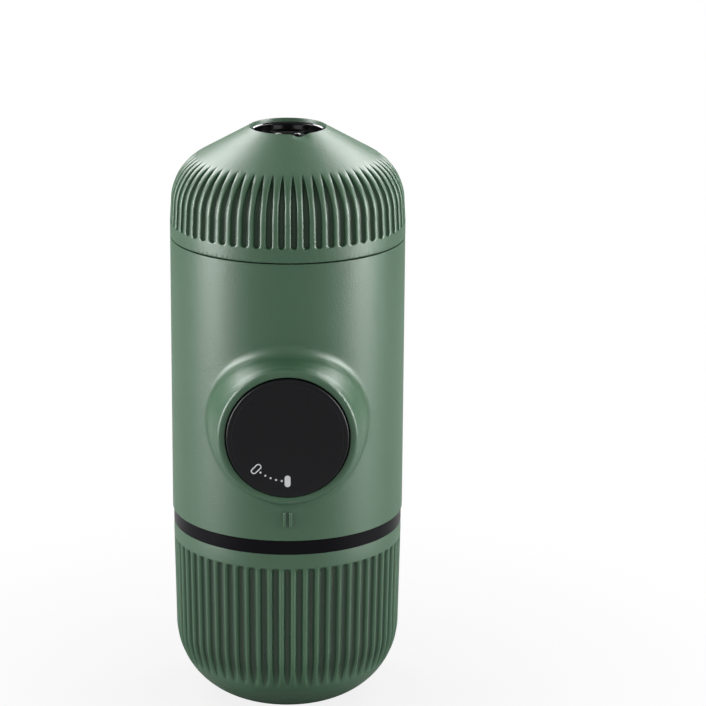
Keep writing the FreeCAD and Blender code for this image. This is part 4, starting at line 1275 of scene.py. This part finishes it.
def shade_copy(mesh, angle):
    """Loose triangles merged, and smooth but for the edges past an angle in degrees."""
    tidy = bmesh.new()
    tidy.from_mesh(mesh)
    bmesh.ops.remove_doubles(tidy, verts=tidy.verts, dist=FRAME_MERGE)
    for face in tidy.faces:
        face.smooth = True
    for edge in tidy.edges:
        edge.smooth = len(edge.link_faces) == 2 and edge.calc_face_angle(0) < math.radians(angle)
    tidy.to_mesh(mesh)
    tidy.free()
    for name in ("custom_normal", "sharp_face"):
        if name in mesh.attributes:
            mesh.attributes.remove(mesh.attributes[name])


SPECIAL_NODES = ("drinking_cup", "body_shell", "portafilter_shell", "knob_cap", "outlet_nozzle",
                 "return_spring", "filter_basket", "shower_plate", *SCREW_NODES)


# Operators
class MakeFinishes(bpy.types.Operator):
    """Make the maker's materials"""
    bl_idname = "espresso.finishes"
    bl_label = "Finishes"

    def execute(self, context):
        make_finishes(context.scene.maker_finish)
        return {"FINISHED"}


class MakeCup(bpy.types.Operator):
    """Make the fluted drinking cup"""
    bl_idname = "espresso.cup"
    bl_label = "Drinking cup"

    def execute(self, context):
        piece_of("fluted_cup", cup_mesh(context.scene.maker_flutes), "drinking_cup", "cup")
        return {"FINISHED"}


class MakeShell(bpy.types.Operator):
    """Make the main shell with its knob boss and index bars"""
    bl_idname = "espresso.shell"
    bl_label = "Main shell"

    def execute(self, context):
        piece_of("main_shell", shell_mesh(), "body_shell", "machine")
        piece_of("index_bars", index_mesh(), "body_shell", "machine", replaces=False)
        return {"FINISHED"}


class MakeKnob(bpy.types.Operator):
    """Make the knob's disc and its printed marks"""
    bl_idname = "espresso.knob"
    bl_label = "Knob"

    def execute(self, context):
        even(piece_of("knob_disc", knob_mesh(), "knob_cap", "knob"))
        piece_of("knob_marks", marks_mesh(), "knob_cap", "knob", "print", replaces=False)
        return {"FINISHED"}


class MakeHead(bpy.types.Operator):
    """Make the fluted portafilter and its nozzle"""
    bl_idname = "espresso.head"
    bl_label = "Portafilter"

    def execute(self, context):
        piece_of("fluted_head", head_mesh(context.scene.maker_flutes), "portafilter_shell", "portafilter")
        piece_of("nozzle_dome", nozzle_mesh(), "outlet_nozzle", "portafilter")
        piece_of("mouth_liner", liner_mesh(), "portafilter_core", "portafilter", "gloss", replaces=False)
        return {"FINISHED"}


class MakeThreads(bpy.types.Operator):
    """Make the screw ridges on the tank's neck and the brew head"""
    bl_idname = "espresso.threads"
    bl_label = "Threads"

    def execute(self, context):
        piece_of("tank_thread", thread_mesh("tank_thread"), "water_tank", "tank", replaces=False)
        piece_of("head_thread", thread_mesh("head_thread"), "brew_head", "machine", replaces=False)
        return {"FINISHED"}


class MakeSpring(bpy.types.Operator):
    """Make the pump's return spring"""
    bl_idname = "espresso.spring"
    bl_label = "Return spring"

    def execute(self, context):
        thing = piece_of("spring_wire", spring_mesh(), "return_spring", None)
        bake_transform(thing)
        return {"FINISHED"}


class MakeSteel(bpy.types.Operator):
    """Make the perforated basket and shower plate"""
    bl_idname = "espresso.steel"
    bl_label = "Perforated steel"

    def execute(self, context):
        even(piece_of("basket_steel", basket_mesh(), "filter_basket", "basket"))
        piece_of("shower_sieve", shower_mesh(), "shower_plate", "machine")
        return {"FINISHED"}


class MakeScrews(bpy.types.Operator):
    """Make the screws with their drive recesses"""
    bl_idname = "espresso.screws"
    bl_label = "Screws"

    def execute(self, context):
        for node in SCREW_NODES:
            even(piece_of(node + "_drive", screw_mesh(node), node, body_of(node)))
        return {"FINISHED"}


class DressParts(bpy.types.Operator):
    """Dress every other part in a smooth skin of its own finish"""
    bl_idname = "espresso.dress"
    bl_label = "Inner parts"

    def execute(self, context):
        for node in frame["nodes"]:
            if node not in SPECIAL_NODES:
                dressed(node)
        return {"FINISHED"}


LAMPS = {
    "softbox": {"azimuth": 70, "elevation": 6, "distance": 0.55, "width": 0.2, "height": 0.55,
                "share": 0.6, "aim": 0.09},
    "gloss_strip": {"azimuth": 79, "elevation": 6, "distance": 0.55, "width": 0.17, "height": 0.55,
                    "share": 0.8, "aim": 0.09},
    "rear_softbox": {"azimuth": 136, "elevation": 34, "distance": 0.6, "width": 0.32, "height": 0.32,
                     "share": 0.85, "aim": 0.14},
}


def lamp(name, side, power, azimuth, elevation, distance, width, height, share, aim):
    """A rectangular area lamp on one side, its azimuth taken from the front, aimed at the axis."""
    data = bpy.data.lights.new(name, "AREA")
    data.shape = "RECTANGLE"
    data.size, data.size_y = width, height
    data.energy = power * share
    thing = placed(name, data)
    e = math.radians(elevation)
    way = Vector(turned(math.cos(e), math.radians(side * azimuth) - math.pi / 2, math.sin(e)))
    thing.location = Vector((0, 0, aim)) + way * distance
    thing.rotation_euler = way.to_track_quat("Z", "Y").to_euler()
    return thing


SENSOR_WIDTH = 36
CLIP_START = 0.01
FLOOR_HALF = 3.0
FLOOR_GREY = 0.38
SHADOW_NEAR, SHADOW_FAR, SHADOW_LIT = 0.02, 0.14, 0.85
FRONT_LEVEL, BACK_LEVEL = 0.31, 0.14


class MakeStage(bpy.types.Operator):
    """Make the camera, the lamps, the pale floor and the white surround"""
    bl_idname = "espresso.stage"
    bl_label = "Stage"

    def execute(self, context):
        settings = context.scene.maker_stage
        data = bpy.data.cameras.new("stage_camera")
        data.lens = settings.lens
        data.sensor_width = SENSOR_WIDTH
        data.clip_start = CLIP_START
        camera = placed("stage_camera", data)
        camera.location = (0, -settings.distance, settings.height)
        camera.rotation_euler = (math.pi / 2 - settings.pitch, settings.roll, -settings.yaw)
        context.scene.camera = camera
        for side, word in ((-1, "left"), (1, "right")):
            for kind, rig in LAMPS.items():
                thing = lamp(f"{word}_{kind}", side, settings.softbox, **rig)
                thing.visible_diffuse = kind != "gloss_strip"
        self.make_floor()
        self.make_world(context)
        context.scene.view_settings.view_transform = "Standard"
        return {"FINISHED"}

    def make_floor(self):
        """A floor that takes the shadow, and is lit white for the camera away from the maker's foot."""
        mesh = bpy.data.meshes.new("floor")
        corners = [(x * FLOOR_HALF, y * FLOOR_HALF, 0) for x, y in ((-1, -1), (1, -1), (1, 1), (-1, 1))]
        mesh.from_pydata(corners, [], [(0, 1, 2, 3)])
        floor = placed("floor", mesh)
        material, sheet = new_sheet("pale_floor")
        ray = sheet.add("ShaderNodeLightPath", output="Is Camera Ray")
        plain = sheet.add("ShaderNodeBsdfDiffuse", Color=(FLOOR_GREY,) * 3)
        lit = sheet.add("ShaderNodeEmission", Color=(1, 1, 1), Strength=1.0)
        reach = sheet.add("ShaderNodeVectorMath", {"operation": "LENGTH"}, output="Value", i0=sheet.place())
        away = sheet.add("ShaderNodeMapRange", i0=reach, i1=SHADOW_NEAR, i2=SHADOW_FAR, i3=SHADOW_LIT, i4=1.0)
        mix = sheet.add("ShaderNodeMixShader", i0=ray * away, i1=plain, i2=lit)
        sheet.add("ShaderNodeOutputMaterial", Surface=mix)
        mesh.materials.append(material)

    def make_world(self, context):
        """A soft surround, dimmer behind the maker, that the camera sees as white."""
        world = bpy.data.worlds.new("surround")
        context.scene.world = world
        world.use_nodes = True
        sheet = NodeSheet(world.node_tree)
        way = sheet.add("ShaderNodeTexCoord", output="Generated")
        behind = sheet.add("ShaderNodeSeparateXYZ", output="Y", i0=way)
        level = sheet.add("ShaderNodeMapRange", i0=behind, i1=-0.9, i2=0.4, i3=FRONT_LEVEL, i4=BACK_LEVEL)
        camera_ray = sheet.add("ShaderNodeLightPath", output="Is Camera Ray")
        strength = level * (1 - camera_ray) + camera_ray
        light = sheet.add("ShaderNodeBackground", Color=(1, 1, 1), Strength=strength)
        sheet.add("ShaderNodeOutputWorld", Surface=light)


STEPS = (MakeFinishes, MakeCup, MakeShell, MakeKnob, MakeHead, MakeThreads, MakeSpring, MakeSteel,
         MakeScrews, DressParts, MakeStage)


class MakerPanel(bpy.types.Panel):
    """The settings and the steps, in order"""
    bl_idname = "VIEW3D_PT_espresso_maker"
    bl_label = "Espresso Maker"
    bl_space_type = "VIEW_3D"
    bl_region_type = "UI"
    bl_category = "Espresso Maker"

    def draw(self, context):
        for group in (context.scene.maker_finish, context.scene.maker_flutes, context.scene.maker_stage):
            box = self.layout.box()
            for name in group.bl_rna.properties.keys():
                if name not in ("rna_type", "name"):
                    box.prop(group, name)
        for step in STEPS:
            self.layout.operator(step.bl_idname)


CLASSES = (FinishSettings, FluteSettings, StageSettings, *STEPS, MakerPanel)


def register():
    for one in CLASSES:
        bpy.utils.register_class(one)
    bpy.types.Scene.maker_finish = bpy.props.PointerProperty(type=FinishSettings)
    bpy.types.Scene.maker_flutes = bpy.props.PointerProperty(type=FluteSettings)
    bpy.types.Scene.maker_stage = bpy.props.PointerProperty(type=StageSettings)


def unregister():
    del bpy.types.Scene.maker_finish
    del bpy.types.Scene.maker_flutes
    del bpy.types.Scene.maker_stage
    for one in reversed(CLASSES):
        bpy.utils.unregister_class(one)


def main():
    register()
    for step in STEPS:
        group, name = step.bl_idname.split(".")
        getattr(getattr(bpy.ops, group), name)()


if __name__ == "__main__":
    main()
